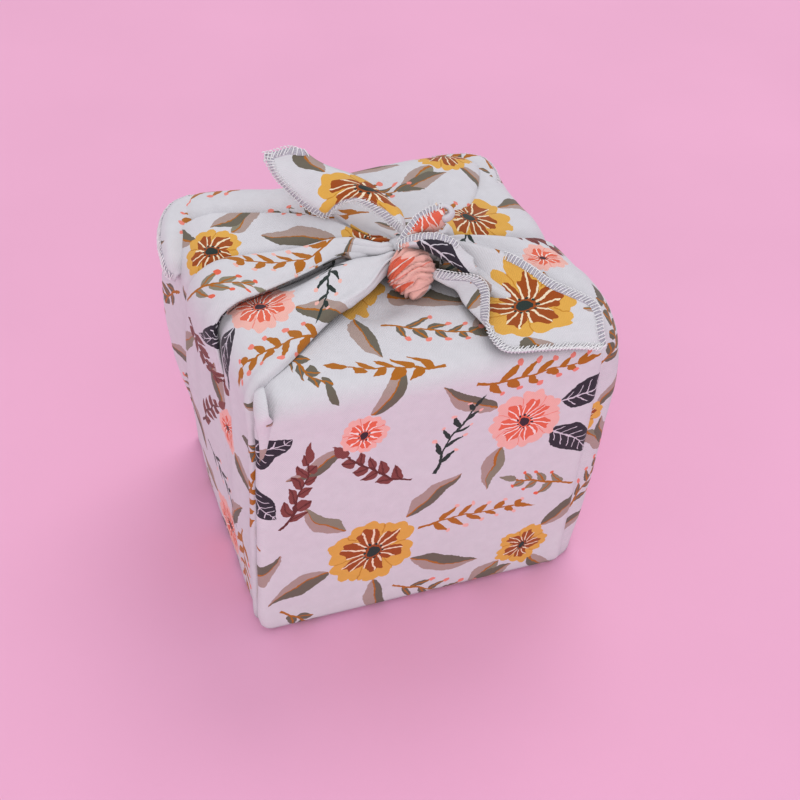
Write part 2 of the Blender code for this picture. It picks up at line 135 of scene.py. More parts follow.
BACK_FOLDS = (
    (-4, -24, -40, -70, -72, -72, -72, -72, 0, 0, 1, 1.4, 1.4, 1.4, 1.4, 1.2),
    (-3, -20, -34, -60, -60, -60, -60, -60, 2, 3, 4, 7, 5, 4, 3, 2),
    (-1, -12, -20, -38, -36, -36, -36, -36, 1, 2, 3, 9, 6, 4, 3, 2),
    (2, -3, -6, -10, -10, -10, -10, -10, 2, 4, 5, 11, 6, 4, 3, 2),
    (6, 10, 14, 18, 18, 18, 18, 18, 1, 2, 4, 13, 6, 4, 3, 2),
    (11, 22, 32, 46, 46, 46, 46, 46, 2, 4, 6, 14.5, 8, 5, 4, 2),
    (15, 33, 48, 66, 66, 66, 66, 66, 2, 3.5, 5.5, 13, 6, 4, 3, 2),
    (17, 38, 56, 76, 77, 76, 76, 75, 1.2, 2, 4, 8, 1.4, 1.4, 1.4, 1.2),
)

# Pleats that fold under inside a wing: after which row of its table, then the
# depth of the fold-under and the height of its upper edge at the same eight
# levels as the tables above.
LEFT_NEAR_PLEATS = (
    (6, (3.5, 11, 14, 9, 1.4, 0, 0, 0), (2, 4.4, 5.8, 4.4, 0.5, 0, 0, 0)),
)
BACK_PLEATS = (
    (1, (3, 6, 6, 4, 2, 0, 0, 0), (1.2, 2.0, 2.2, 1.8, 0.8, 0, 0, 0)),
)

# ---- free corners ----
# One row for each section, from the knot to the tip; the four points of a
# section run across the cloth from one hem to the other.
RIGHT_TAIL = (
    ((12, -22, 181), (12, -22, 177), (17, -15, 175), (20, -9, 184)),
    ((22, -28.8, 181), (19, -29, 175), (29, -24, 173), (32, -10, 185)),
    ((33, -34, 180), (24, -31, 172), (37, -30, 172), (44, -16, 184)),
    ((36, -40, 177.5), (25, -38, 170), (44, -38, 172.4), (54.5, -24, 182.6)),
    ((32.5, -50, 175), (27, -46, 169.8), (50, -46, 172.8), (62.5, -34, 180.6)),
    ((29, -59, 172), (31, -55, 169.2), (54, -54, 172.8), (67.5, -45, 179.6)),
    ((29, -69, 170), (36, -66, 169), (57.5, -61, 172.8), (75, -54, 178.6)),
    ((33, -76, 168.6), (43, -73, 168.8), (63.5, -68, 172.2), (83, -61.5, 176.4)),
    ((50, -79, 168.2), (58, -76, 168.6), (70, -73, 171), (84, -68.5, 173.8)),
    ((66, -81, 167), (70, -80, 167.4), (75.4, -78, 169), (82.2, -75, 170.4)),
    ((78, -82.8, 165), (79, -82.2, 165.2), (80.4, -81.2, 165.4), (81.8, -80, 165.4)),
)
LEFT_TAIL = (
    ((6, -2.8, 186.6), (6.6, -3.3, 187.8), (8.1, -2.4, 187.9), (10.1, -0.8, 185.9)),
    ((5.3, -0.2, 187.4), (5.6, -0.5, 189.4), (6.9, 0.4, 190.1), (8.5, 1.2, 188.7)),
    ((4.2, 3.2, 188.1), (5.3, 3.3, 190.8), (6.9, 4.3, 191.7), (9.2, 5.9, 190.6)),
    ((0.6, 10.3, 189.9), (3.2, 9.7, 192.5), (6, 10.6, 193.8), (9.2, 12.1, 192.2)),
    ((-3, 16.3, 191.3), (-0.3, 15.6, 193.9), (3.1, 16, 195), (6.9, 16.7, 192.9)),
    ((-7.4, 22.2, 192.4), (-4.8, 21.3, 194.7), (0.2, 21.2, 195.9), (5.2, 21.8, 194.1)),
    ((-11.6, 25.9, 192.8), (-8.8, 24.8, 195), (-2.7, 25.3, 196.5), (3.8, 25.2, 194)),
    ((-16.2, 27.5, 190.3), (-13.7, 26.6, 194.1), (-6.6, 29.3, 197.4), (3.2, 28.6, 194.2)),
    ((-20.2, 28, 187), (-18.8, 27.4, 192), (-10.5, 33, 198), (1.3, 32, 195.2)),
    ((-24.2, 28.5, 182.9), (-23.4, 27.4, 189.4), (-13.9, 35.7, 197.8), (-1.8, 35.8, 196.2)),
    ((-28, 31.5, 183.5), (-26.4, 30.2, 189.5), (-18.3, 37.7, 197.2), (-7.1, 40.8, 197.4)),
    ((-33, 35.9, 185.8), (-31, 34.4, 190.9), (-22.4, 40.8, 197.8), (-12.7, 44.8, 198.4)),
    ((-38, 42.2, 189.8), (-36.3, 41, 193.7), (-27.7, 46, 199.1), (-17.6, 48.5, 199.2)),
    ((-42.9, 48.9, 194.4), (-41.2, 47.3, 197.1), (-33, 51.1, 200.5), (-21.6, 52.2, 200.4)),
    ((-45.5, 54.6, 198.8), (-43.4, 53.1, 200.4), (-35.5, 54, 201.5), (-24.8, 55.9, 202)),
    ((-46.3, 58.2, 201.5), (-42.8, 56.8, 202.3), (-35, 56, 203), (-25.6, 56.6, 202.4)),
    ((-46, 60.3, 203.4), (-41.5, 59.2, 204.2), (-33.2, 59.1, 205.3), (-26.5, 58.3, 203.6)),
)
# leaf of the cloth that stands up over the knot, from its hem to the hidden side
TONGUE = (
    ((3, -5.6, 189.2), (4, -7.3, 189.4), (5.4, -7.8, 188.8), (7.1, -7, 187.3)),
    ((5.6, -4.7, 192.6), (7.1, -7.4, 192.7), (9.2, -8.2, 191.4), (11.1, -6.9, 189.1)),
    ((8.8, -3.7, 196.3), (10.5, -6.9, 196.1), (13.5, -8, 193.4), (15.6, -6.5, 189.8)),
    ((12.4, -2.8, 199.4), (13.7, -6.3, 198.7), (17.2, -8, 194.9), (19, -7.3, 190.4)),
    ((17.5, -2.3, 201.3), (17.8, -5.8, 200.1), (20, -7.7, 196.3), (21.5, -7.3, 191.5)),
    ((22.4, -1.6, 201.8), (21.8, -5.1, 201), (23, -7, 197.5), (24.1, -6.9, 192.9)),
    ((26.6, -1.4, 202.2), (25.4, -4, 201.4), (25.7, -5.3, 199.5), (26.5, -5.6, 195.9)),
)
# upper edge of the cloth that wraps the front of the knot
WRAP_EDGE = (
    ((1.2, -8.4, 187.9), (0.9, -10.5, 188), (1.8, -11.2, 186.9), (3.1, -10.6, 185.1)),
    ((5.8, -8.9, 191.5), (5, -12.9, 190.9), (5.6, -13.3, 189.3), (7, -12.1, 186.7)),
    ((11.2, -10.7, 193.4), (9.9, -15.4, 192.7), (10.4, -16.1, 190.7), (11.7, -15.1, 187.2)),
    ((17.8, -13.3, 194.3), (16.2, -18.1, 193.4), (15.8, -20.6, 191.5), (16.3, -21, 186.9)),
    ((23.7, -16.1, 193.3), (22, -20.1, 192.3), (21.4, -23.2, 189.8), (22, -24.5, 184.4)),
    ((28.1, -18.7, 190.3), (25.6, -22.6, 190), (25.4, -26.3, 186.9), (28.2, -28.9, 180.5)),
    ((30.9, -20.4, 187), (28.7, -24.3, 187.3), (29.1, -27.9, 184.8), (32.4, -31, 178.8)),
    ((35.4, -23.1, 183.3), (33.7, -26.3, 183.8), (34.1, -29.9, 181.9), (36.6, -32.2, 176.4)),
)
# white tip that curls round beside the knot
CURL = (
    ((23.8, -0.6, 201.9), (22.7, -3, 202), (22.6, -3.8, 201.1), (23.4, -3, 199.3)),
    ((26.1, -1.1, 202.3), (25, -3.4, 202.9), (25.1, -3.8, 202.1), (25.9, -2.7, 200.6)),
    ((28.2, -2.2, 202), (26.7, -4.4, 202.8), (26.2, -4.6, 202.1), (26.6, -3.4, 200.8)),
    ((29.8, -4.2, 200.8), (27.9, -6, 201.8), (27.1, -5.8, 201.6), (27.1, -4.4, 200.4)),
    ((30.2, -6.1, 199.1), (28.1, -7.6, 200.6), (27.1, -7.1, 200.7), (27.2, -5.1, 199.7)),
    ((28.6, -7.4, 197.1), (26.5, -8.3, 199.2), (25.9, -7.3, 199.7), (26.4, -5.1, 199.1)),
    ((25.5, -7.5, 195.8), (24.4, -7.9, 198.2), (24.2, -6.8, 198.9), (25.1, -4.6, 198.5)),
    ((23.5, -6.1, 195.7), (23.2, -6.5, 197.8), (23.4, -5.8, 198.4), (24.3, -4, 198)),
)
# lip of the front panel's fold, over a slit at the upper corner
CORNER_LIP = (
    ((-86.5, -68, 166.2), (-85, -68, 167.4), (-83.5, -68, 168.2), (-82, -68, 168.4)),
    ((-88, -72.5, 163.8), (-86.6, -73, 166), (-84.6, -73.6, 167.6), (-82.6, -74, 168.2)),
    ((-88.8, -76, 161), (-87.6, -77.5, 163.6), (-85.4, -78.4, 165.6), (-83.2, -78.8, 166.6)),
    ((-88.8, -78, 158), (-87.6, -80.2, 160), (-85.4, -81.2, 162), (-83.2, -81.4, 163)),
    ((-88.4, -78.6, 153.6), (-87, -80.2, 155), (-84.6, -80.9, 157), (-81.4, -80.4, 159.2)),
    ((-87.6, -78.4, 148), (-85.8, -79.3, 149), (-83.6, -79.4, 151), (-81, -78.2, 154.6)),
    ((-87, -77.8, 140), (-85.4, -78.6, 141), (-83.4, -78.4, 143), (-81, -77, 147)),
    ((-86.8, -77, 128), (-85.2, -77.6, 129), (-83.4, -77.2, 131), (-81, -76, 135)),
)
# hems that turn up at the two corners of the back
LEFT_BACK_LIP = (
    ((-76, 80.3, 167.7), (-76, 77.6, 170.6), (-76, 74.6, 170.8), (-76, 65, 167.4)),
    ((-84.3, 80.8, 168.1), (-83.3, 78.2, 171.6), (-81.9, 74.6, 172.2), (-78, 62, 168)),
    ((-93.2, 76.8, 167.3), (-91.3, 74.3, 171.6), (-88.7, 70.7, 172.6), (-80, 60, 168)),
    ((-100.2, 65.9, 166.7), (-97.6, 64.2, 171.6), (-93.6, 61.8, 172.8), (-82.5, 56.5, 168.6)),
    ((-104.2, 52.9, 164.3), (-101.6, 51.9, 169.2), (-97.2, 50.5, 171.6), (-86, 48.5, 168.2)),
    ((-104.8, 43, 160.3), (-103, 42.6, 165), (-99.2, 42.5, 168), (-88.5, 43.5, 165.4)),
    ((-104.2, 37, 156.7), (-102.4, 36.5, 161.2), (-99.2, 36.5, 163.2), (-94, 37, 162)),
    ((-100.3, 34, 153.2), (-99.2, 33.6, 156.6), (-96.6, 34.1, 157.6), (-93, 35, 157)),
)
RIGHT_BACK_LIP = (
    ((54, 85, 168), (53.5, 82.6, 170.7), (52.9, 78.4, 170.9), (50, 66, 167)),
    ((61.9, 84.7, 168.2), (61, 82.2, 171.3), (59.8, 78.4, 171.3), (55, 65, 167.4)),
    ((74.2, 83.3, 168), (72.7, 80.9, 171.1), (71.1, 77.5, 171.3), (62, 63, 167.4)),
    ((83.7, 79.2, 166.6), (81.1, 77.2, 170.1), (78.5, 74.6, 170.7), (68, 63, 166.8)),
    ((86.8, 70.3, 165), (84.4, 69.9, 168.7), (81, 69.3, 169.9), (70, 63, 166)),
    ((86, 60.4, 164.2), (83.4, 60.2, 167.9), (79.8, 60, 169.1), (70, 58, 165.4)),
    ((82.6, 52, 167.2), (79.4, 52, 169.1), (77.4, 52, 168.3), (70.5, 51, 165)),
)

# ---- soft creases ----
# Straight troughs (depth above 0) and ridges (below 0) in the cloth's outer
# side: start point, end point, half width and depth.
CREASES = (
    # left wing
    (-95, -9.5, 134, -95, -7, 116, 2.4, 1.6),
    (-92, -24, 143, -91, -20, 120, 2.8, 1.5),
    (-89, -31, 155, -90, -33, 100, 3.2, 1.8),
    (-88, -44, 150, -88, -40, 96, 5.0, 0.8),
    (-86, -58, 120, -87, -52, 60, 6.0, 0.7),
    (-100, 10, 150, -96, 18, 60, 4.0, 1.2),
    (-8, -9, 183, -52, -24, 174, 3.0, 1.5),
    (-9, -13, 181, -44, -29, 173, 2.4, 1.2),
    (-12, -5, 182, -66, -22, 171, 4.5, -1.1),
    (-8, 8, 184, -66, 12, 177, 2.6, 1.3),
    (-10, 17, 184, -76, 32, 177, 3.4, 1.5),
    (-8, 13, 185, -60, 36, 178, 3.0, 1.2),
    (-98, 30, 172, -104, 38, 120, 4.0, 1.2),
    # right wing
    (40, -5, 181, 92, -26, 166, 4.6, 1.6),
    (38, -11, 179, 74, -24, 175, 3.4, 0.9),
    (44, 6, 179, 84, 16, 171, 3.4, 1.3),
    (40, 12, 180, 80, 42, 171, 3.8, 1.3),
    (100, -40, 160, 101, -46, 80, 6.0, 1.2),
    (88, -75, 60, 96, -60, 20, 5.0, 1.2),
    # back
    (8, 12, 181, 20, 66, 174, 4.6, 1.6),
    (14, 11, 181, 52, 62, 174, 4.0, 1.5),
    (0, 14, 181, -24, 62, 172, 5.0, 1.0),
    (-40, 80, 150, -20, 80, 60, 9.0, 1.0),
    (20, 80, 150, 34, 80, 50, 9.0, 1.0),
    # front panel and lid
    (-82, -70.5, 167.6, -80.6, -80.4, 159, 1.8, 2.2),
    (-78, -80, 150, -45, -80, 128, 6.0, 0.5),
    (-80, -80, 20, -52, -80, 10, 5.0, 0.6),
    (60, -80, 14, 82, -80, 30, 5.0, 0.7),
    (40, -80, 158, 80, -80, 140, 7.0, 0.5),
    (-60, -60, 168, -20, -66, 168, 6.0, 0.5),
    (-34, -36, 168, -6, -50, 168, 4.0, 0.8),
    # hollow under the border beside the knot
    (-2, -24, 168, -26, -33, 168, 8.0, 5.0),
    (4, -32, 168, 16, -52, 168, 3.5, 0.7),
)
UNEVEN_HEIGHT = 0.8      # of the soft unevenness between the creases
BROAD, FINE = (34.0, 0.9), (13.0, 0.28)      # size and share of its two kinds
CREASE_PART, CREASE_START, CREASE_FULLNESS = 0.92, 0.04, 0.6     # how a crease fades at its ends
WRAP_MIDDLE = np.array((0.0, 0.0, BOX_HEIGHT * 0.45))


# ---- small helpers ----
def smooth(a):
    """Ease a fraction in and out."""
    a = np.clip(a, 0.0, 1.0)
    return a * a * (3.0 - 2.0 * a)


def catmull(points, t):
    """Point at 0..1 on a smooth line through the given points."""
    p = np.asarray(points, float)
    n = len(p) - 1
    x = min(max(t, 0.0), 1.0) * n
    k = min(int(x), n - 1)
    f = x - k
    p0 = p[k - 1] if k > 0 else 2 * p[0] - p[1]
    p3 = p[k + 2] if k + 2 <= n else 2 * p[n] - p[n - 1]
    p1, p2 = p[k], p[k + 1]
    return 0.5 * (2 * p1 + (p2 - p0) * f + (2 * p0 - 5 * p1 + 4 * p2 - p3) * f * f
                  + (3 * p1 - p0 - 3 * p2 + p3) * f ** 3)


def eased_line(x, keys, values):
    """Smooth line through keyed values, overshoot kept small; it starts level."""
    k = 0
    while k < len(keys) - 2 and x > keys[k + 1]:
        k += 1
    x0, x1 = keys[k], keys[k + 1]
    f = min(max((x - x0) / (x1 - x0), 0.0), 1.0)

    def slope(i):
        if i == 0:
            return 0.0
        after = min(i + 1, len(keys) - 1)
        return (values[after] - values[i - 1]) / (keys[after] - keys[i - 1])

    m0, m1 = slope(k) * (x1 - x0), slope(k + 1) * (x1 - x0)
    return ((2 * f ** 3 - 3 * f ** 2 + 1) * values[k] + (f ** 3 - 2 * f ** 2 + f) * m0
            + (-2 * f ** 3 + 3 * f ** 2) * values[k + 1] + (f ** 3 - f ** 2) * m1)


def unit(v):
    """Vectors brought to length 1."""
    v = np.asarray(v, float)
    return v / np.maximum(np.linalg.norm(v, axis=-1, keepdims=True), 1e-9)


def linear(hex_colour):
    """sRGB hex colour as linear RGBA."""
    parts = [int(hex_colour[i:i + 2], 16) / 255 for i in (1, 3, 5)]
    return tuple(c / 12.92 if c <= 0.04045 else ((c + 0.055) / 1.055) ** 2.4 for c in parts) + (1.0,)


def lengths(points, axis):
    """True length along one way of a grid of points, from 0 at its first point."""
    steps = np.linalg.norm(np.diff(points, axis=axis), axis=-1)
    return np.concatenate((np.zeros_like(steps.take([0], axis)), np.cumsum(steps, axis=axis)), axis=axis)


def at_distance(distance, length, values):
    """Values of a grid at a true distance down each of its columns."""
    columns = zip(np.broadcast_to(distance, length.shape[1]), length.T, values.transpose(1, 2, 0))
    return np.array([[np.interp(d, run, row) for row in rows] for d, run, rows in columns])


def box_clearance(points):
    """Height of points above the cloth that lies on the box itself."""
    p = np.asarray(points, float)
    mid = np.array((0, -FRONT_PUFF / 2, BOX_HEIGHT / 2))
    half = np.array((BOX_WIDTH / 2, (BOX_DEPTH + FRONT_PUFF) / 2, BOX_HEIGHT / 2))
    q = np.abs(p - mid) - (half - TOP_ROUND)
    away = np.linalg.norm(np.maximum(q, 0.0), axis=-1) + np.minimum(q.max(axis=-1), 0.0) - TOP_ROUND
    crown = CROWN * np.cos(np.clip(p[..., 0] / BOX_WIDTH, -0.5, 0.5) * math.pi)
    crown = crown * np.cos(np.clip(p[..., 1] / BOX_DEPTH, -0.5, 0.5) * math.pi)
    return away - np.where(p[..., 2] > BOX_HEIGHT - TOP_ROUND, crown, 0.0)


def grid_normals(points):
    """Normals of a grid of points, pointing away from the box."""
    n = unit(np.cross(np.gradient(points, axis=0), np.gradient(points, axis=1)))
    return -n if (n * (points - WRAP_MIDDLE)).sum() < 0 else n


def relief(points):
    """Height of the creases and the soft unevenness of the cloth at some points."""
    p = points.reshape(-1, 3)
    height = np.zeros(len(p))
    for x0, y0, z0, x1, y1, z1, width, depth in CREASES:
        a, b = np.array((x0, y0, z0), float), np.array((x1, y1, z1), float)
        t = np.clip(((p - a) @ (b - a)) / ((b - a) @ (b - a)), 0.0, 1.0)
        far = np.linalg.norm(p - (a + t[:, None] * (b - a)), axis=1)
        ends = np.sin(np.clip(t * CREASE_PART + CREASE_START, 0, 1) * math.pi) ** CREASE_FULLNESS
        height -= depth * ends * np.exp(-(far / width) ** 2)
    uneven = np.array([noise.noise(Vector(q) / BROAD[0]) * BROAD[1]
                       + noise.noise(Vector(q) / FINE[0]) * FINE[1] for q in p])
    return (height + uneven * UNEVEN_HEIGHT).reshape(points.shape[:-1])


# ---- the cloth as grids ----
WELD = 0.02              # points closer than this are one
SLIVER = 0.004           # edges shorter than this go


class ClothParts:
    """Grids of cloth points, each with its place on the flat cloth."""

    def __init__(self):
        self.points, self.flat, self.faces, self.count = [], [], [], 0

    def add(self, points, flat):
        """Take in a grid, its faces turned away from the box."""
        n, m = points.shape[:2]
        number = self.count + np.arange(n * m).reshape(n, m)
        quads = np.stack((number[:-1, :-1], number[1:, :-1], number[1:, 1:], number[:-1, 1:]), axis=-1)
        normal = np.cross(np.gradient(points, axis=0), np.gradient(points, axis=1))
        if (normal * (points - WRAP_MIDDLE)).sum() < 0:
            quads = quads[..., ::-1]
        self.points.append(points.reshape(-1, 3))
        self.flat.append(flat.reshape(-1, 2))
        self.faces.append(quads.reshape(-1, 4))
        self.count += n * m

    def object(self, name, weld=WELD):
        """One mesh object of all the grids, welded where they meet."""
        points = np.concatenate(self.points) * MM
        flat = np.concatenate(self.flat) * MM
        faces = np.concatenate(self.faces)
        mesh = bpy.data.meshes.new(name)
        mesh.from_pydata(points.tolist(), [], faces.tolist())
        layer = mesh.uv_layers.new(name="flat_cloth")
        layer.data.foreach_set("uv", flat[faces.reshape(-1)].astype(np.float32).reshape(-1))
        bm = bmesh.new()
        bm.from_mesh(mesh)
        bmesh.ops.remove_doubles(bm, verts=bm.verts[:], dist=weld * MM)
        bmesh.ops.dissolve_degenerate(bm, edges=bm.edges[:], dist=SLIVER * MM)
        bm.to_mesh(mesh)
        bm.free()
        mesh.polygons.foreach_set("use_smooth", [True] * len(mesh.polygons))
        mesh.update()
        obj = bpy.data.objects.new(name, mesh)
        bpy.context.scene.collection.objects.link(obj)
        return obj


# ---- panels on the box ----
FOLD_START = 7.3         # how far behind the front the left side goes in under its fold
FOLD_CENTRE = 3.7        # the same for the middle of the fold
FOLD_RADII = (3.4, 3.6)
FRONT_RADIUS = 4.0       # of the front right corner
LEAST_RADIUS = 3.0
FOOT_ROWS, FACE_ROWS, RIM_ROWS, LID_RINGS, BASE_RINGS = 5, 28, 7, 18, 8
LAP_RISE, LAP_FALL = (1.0, 8.0), (3.0, 10.0)     # from the base and from the lid: starts, full after
RELIEF_RISE = (4.0, 10.0)                        # the same for the relief, from the base
PRINT_EASE = 6.0         # the print starts to turn this close to the front's two ends
PRINT_TURN = 2.4         # rings in which the print has turned at the sides and the back
PRINT_SETTLE = 11.0      # rings in which it has settled behind the front edge


def ring_at(inset, lap):
    """Outline of the wrapped box seen from above, from its hidden left side
    round the folded side of the front panel, the right and the back."""
    w, front, back = BOX_WIDTH / 2 - inset, -BOX_DEPTH / 2 - FRONT_PUFF + inset, BOX_DEPTH / 2 - inset
    r = max(CORNER_ROUND - inset / 2, LEAST_RADIUS)
    tight = min(r, FRONT_RADIUS)
    fold = -w + FOLD_RADII[0] - lap
    pts = []

    def run(a, b, steps):
        for k in range(steps):
            pts.append((a[0] + (b[0] - a[0]) * k / steps, a[1] + (b[1] - a[1]) * k / steps))

    def bend(centre, radii, first, last, steps):
        for k in range(steps):
            a = math.radians(first + (last - first) * k / steps)
            pts.append((centre[0] + radii[0] * math.cos(a), centre[1] + radii[1] * math.sin(a)))

    # left side up to the crease, then round the fold
    run((-w, back - r), (-w, front + FOLD_START), steps=22)
    bend((fold, front + FOLD_CENTRE), FOLD_RADII, 168, 270, steps=9)
    run((fold, front), (w - tight, front), steps=62)
    bend((w - tight, front + tight), (tight, tight), 270, 360, steps=7)
    run((w, front + tight), (w, back - r), steps=24)
    bend((w - r, back - r), (r, r), 0, 90, steps=6)
    run((w - r, back), (-w + r, back), steps=28)
    bend((-w + r, back - r), (r, r), 90, 180, steps=6)
    pts.append(pts[0])
    return np.array(pts)


def crown_at(xy):
    """Height of the lid's crown at some places."""
    return CROWN * np.cos(xy[:, 0] / BOX_WIDTH * math.pi) * np.cos(xy[:, 1] / BOX_DEPTH * math.pi)


def panel_rows():
    """Inset and height of the rings up the box: lower rim, face, upper rim."""
    rows = []
    for k in range(FOOT_ROWS):
        a = math.pi / 2 * k / FOOT_ROWS
        rows.append((FOOT_ROUND * (1 - math.sin(a)), BASE_LEVEL + FOOT_ROUND * (1 - math.cos(a))))
    top = BOX_HEIGHT - TOP_ROUND
    for k in range(FACE_ROWS + 1):
        rows.append((0.0, BASE_LEVEL + FOOT_ROUND + (top - BASE_LEVEL - FOOT_ROUND) * k / FACE_ROWS))
    for k in range(1, RIM_ROWS + 1):
        a = math.pi / 2 * k / RIM_ROWS
        rows.append((TOP_ROUND * (1 - math.cos(a)), top + TOP_ROUND * math.sin(a)))
    return rows


def box_panels(cloth):
    """The cloth that lies flat on the box: base, front, sides, back and lid."""
    grid, run, last = [], [], None
    for inset, z in panel_rows():
        lap = PANEL_LAP * smooth((z - LAP_RISE[0]) / LAP_RISE[1])
        lap *= smooth((BOX_HEIGHT - LAP_FALL[0] - z) / LAP_FALL[1])
        ring = ring_at(inset, lap)
        grid.append(np.column_stack((ring, np.full(len(ring), z))))
        run.append(0.0 if last is None else run[-1] + math.hypot(inset - last[0], z - last[1]))
        last = (inset, z)
    grid = np.array(grid)
    # flat place: along the ring from the middle of the front, and up the side
    along = lengths(grid[..., :2], 1)
    face = grid[FOOT_ROWS + FACE_ROWS // 4]
    front_middle = int(np.argmin(np.abs(face[:, 0]) + (face[:, 1] > 0) * BOX_WIDTH))
    along = along - along[:, front_middle:front_middle + 1]
    up = np.broadcast_to(-(BOX_DEPTH / 2 + np.array(run))[:, None], along.shape)
    flat = np.stack((along, up), axis=-1)
    # lid and base close in rings about their middle
    rim, low = grid[-1], grid[0]
    lid, lid_flat = [rim], [flat[-1]]
    middle = np.array((0.0, -FRONT_PUFF / 2))
    # the print runs straight over the front edge, and turns gradually at the others
    on_front = smooth((BOX_WIDTH / 2 - TOP_ROUND - np.abs(along[-1])) / PRINT_EASE)
    front_line = BOX_DEPTH / 2 + FRONT_PUFF - TOP_ROUND
    for k in range(1, LID_RINGS + 1):
        share = 1.0 - k / LID_RINGS
        xy = middle + (rim[:, :2] - middle) * share
        z = BOX_HEIGHT + (crown_at(xy) - crown_at(rim) * share)
        lid.append(np.column_stack((xy, z)))
        turned = on_front + (1 - on_front) * smooth(k / PRINT_TURN)
        u = flat[-1][:, 0] * (1 - turned) + xy[:, 0] * turned
        own = on_front * (1 - smooth(k / PRINT_SETTLE))
        v = flat[-1][:, 1] - (xy[:, 1] - own * rim[:, 1] + (1 - own) * front_line) * turned
        lid_flat.append(np.column_stack((u, v)))
    base, base_flat = [low], [flat[0]]
    for k in range(1, BASE_RINGS + 1):
        xy = middle + (low[:, :2] - middle) * (1.0 - k / BASE_RINGS)
        base.append(np.column_stack((xy, np.full(len(xy), BASE_LEVEL))))
        base_flat.append(xy)
    whole = np.concatenate((np.array(base)[:0:-1], grid, np.array(lid)[1:]))
    whole_flat = np.concatenate((np.array(base_flat)[:0:-1], flat, np.array(lid_flat)[1:]))
    shown = smooth((whole[..., 2] - RELIEF_RISE[0]) / RELIEF_RISE[1])
    whole = whole + grid_normals(whole) * (relief(whole) * shown)[..., None]
    cloth.add(whole, whole_flat)


# ---- wings ----
FACE_END = 3.0           # the folds of a wing end this high above the base
SLOPE = 1.15             # how the fold lines sink from the neck to the lid
FOLD_PLACES, FOLD_HEIGHTS = slice(0, 8), slice(8, 16)    # the two halves of a row of folds


class Side:
    """Directions of one side of the box and the neck its cloth leaves from."""

    def __init__(self, out, across, reach, neck):
        self.out = np.array(out, float)
        self.across = np.array(across, float)
        self.reach = reach
        self.neck = np.array(neck, float)
        self.lid_run = reach - EDGE_RADIUS - float(self.neck @ self.out)
        self.bend = EDGE_RADIUS * math.pi / 2
        self.drop = BOX_HEIGHT - EDGE_RADIUS - FACE_END
        self.whole = self.lid_run + self.bend + self.drop
        self.keys = [0.0, self.lid_run * FAN_AT, self.lid_run * LID_AT, self.lid_run + self.bend / 2]
        self.keys += [self.lid_run + self.bend + BOX_HEIGHT - EDGE_RADIUS - z for z in FACE_LEVELS]
        self.keys += [self.whole]

    def stations(self, lid, bend, face):
        """Runs from the neck at which a wing has its points, by the steps on each stretch."""
        runs = [self.lid_run * i / lid for i in range(lid)]
        runs += [self.lid_run + self.bend * i / bend for i in range(bend)]
        return runs + [self.lid_run + self.bend + self.drop * i / face for i in range(face + 1)]

    def path(self, row, run):
        """Point of a fold line at a run from the neck."""
        r = EDGE_RADIUS
        side = eased_line(run, self.keys, row[FOLD_PLACES])
        lift = eased_line(run, self.keys, row[FOLD_HEIGHTS])
        if run < self.lid_run:
            f = run / self.lid_run
            level = BOX_HEIGHT + (self.neck[2] - BOX_HEIGHT) * (1 - f) ** SLOPE
            along, normal = float(self.neck @ self.out) + run, (0.0, 1.0)
        elif run < self.lid_run + self.bend:
            a = (run - self.lid_run) / r
            along = self.reach - r + r * math.sin(a)
            level = BOX_HEIGHT - r + r * math.cos(a)
            normal = (math.sin(a), math.cos(a))
        else:
            along = self.reach
            level = BOX_HEIGHT - r - (run - self.lid_run - self.bend)
            normal = (1.0, 0.0)
        point = self.out * (along + normal[0] * lift) + self.across * side
        point[2] = level + normal[1] * lift
        return point


TURN_STEPS = 5           # columns round a rolled border
CLEAR = 0.6              # least room between two layers
UNDER_CLEAR = 0.65       # least room between the lower layer and the box's own cloth
LID_FROM, LID_EASE = 150.0, 12.0     # above this height a border counts as lying on the lid
LEAST_ROLL = 0.35        # least radius of a rolled border
ROUND_LID, ROUND_FACE = 3.6, 1.4     # and its greatest
UNDER, UNDER_STEPS = 46.0, 7         # width of the layer below the border, and its columns
SETTLE = 5.0             # the lower layer leaves its border within this width
SINK = 0.25              # it sinks by this share of its width,
MOST_SINK = 0.1          # and by this share of the wing's width at most
OWN_NORMAL = 0.4         # how far it goes down by the wing's normal there, against the mean one


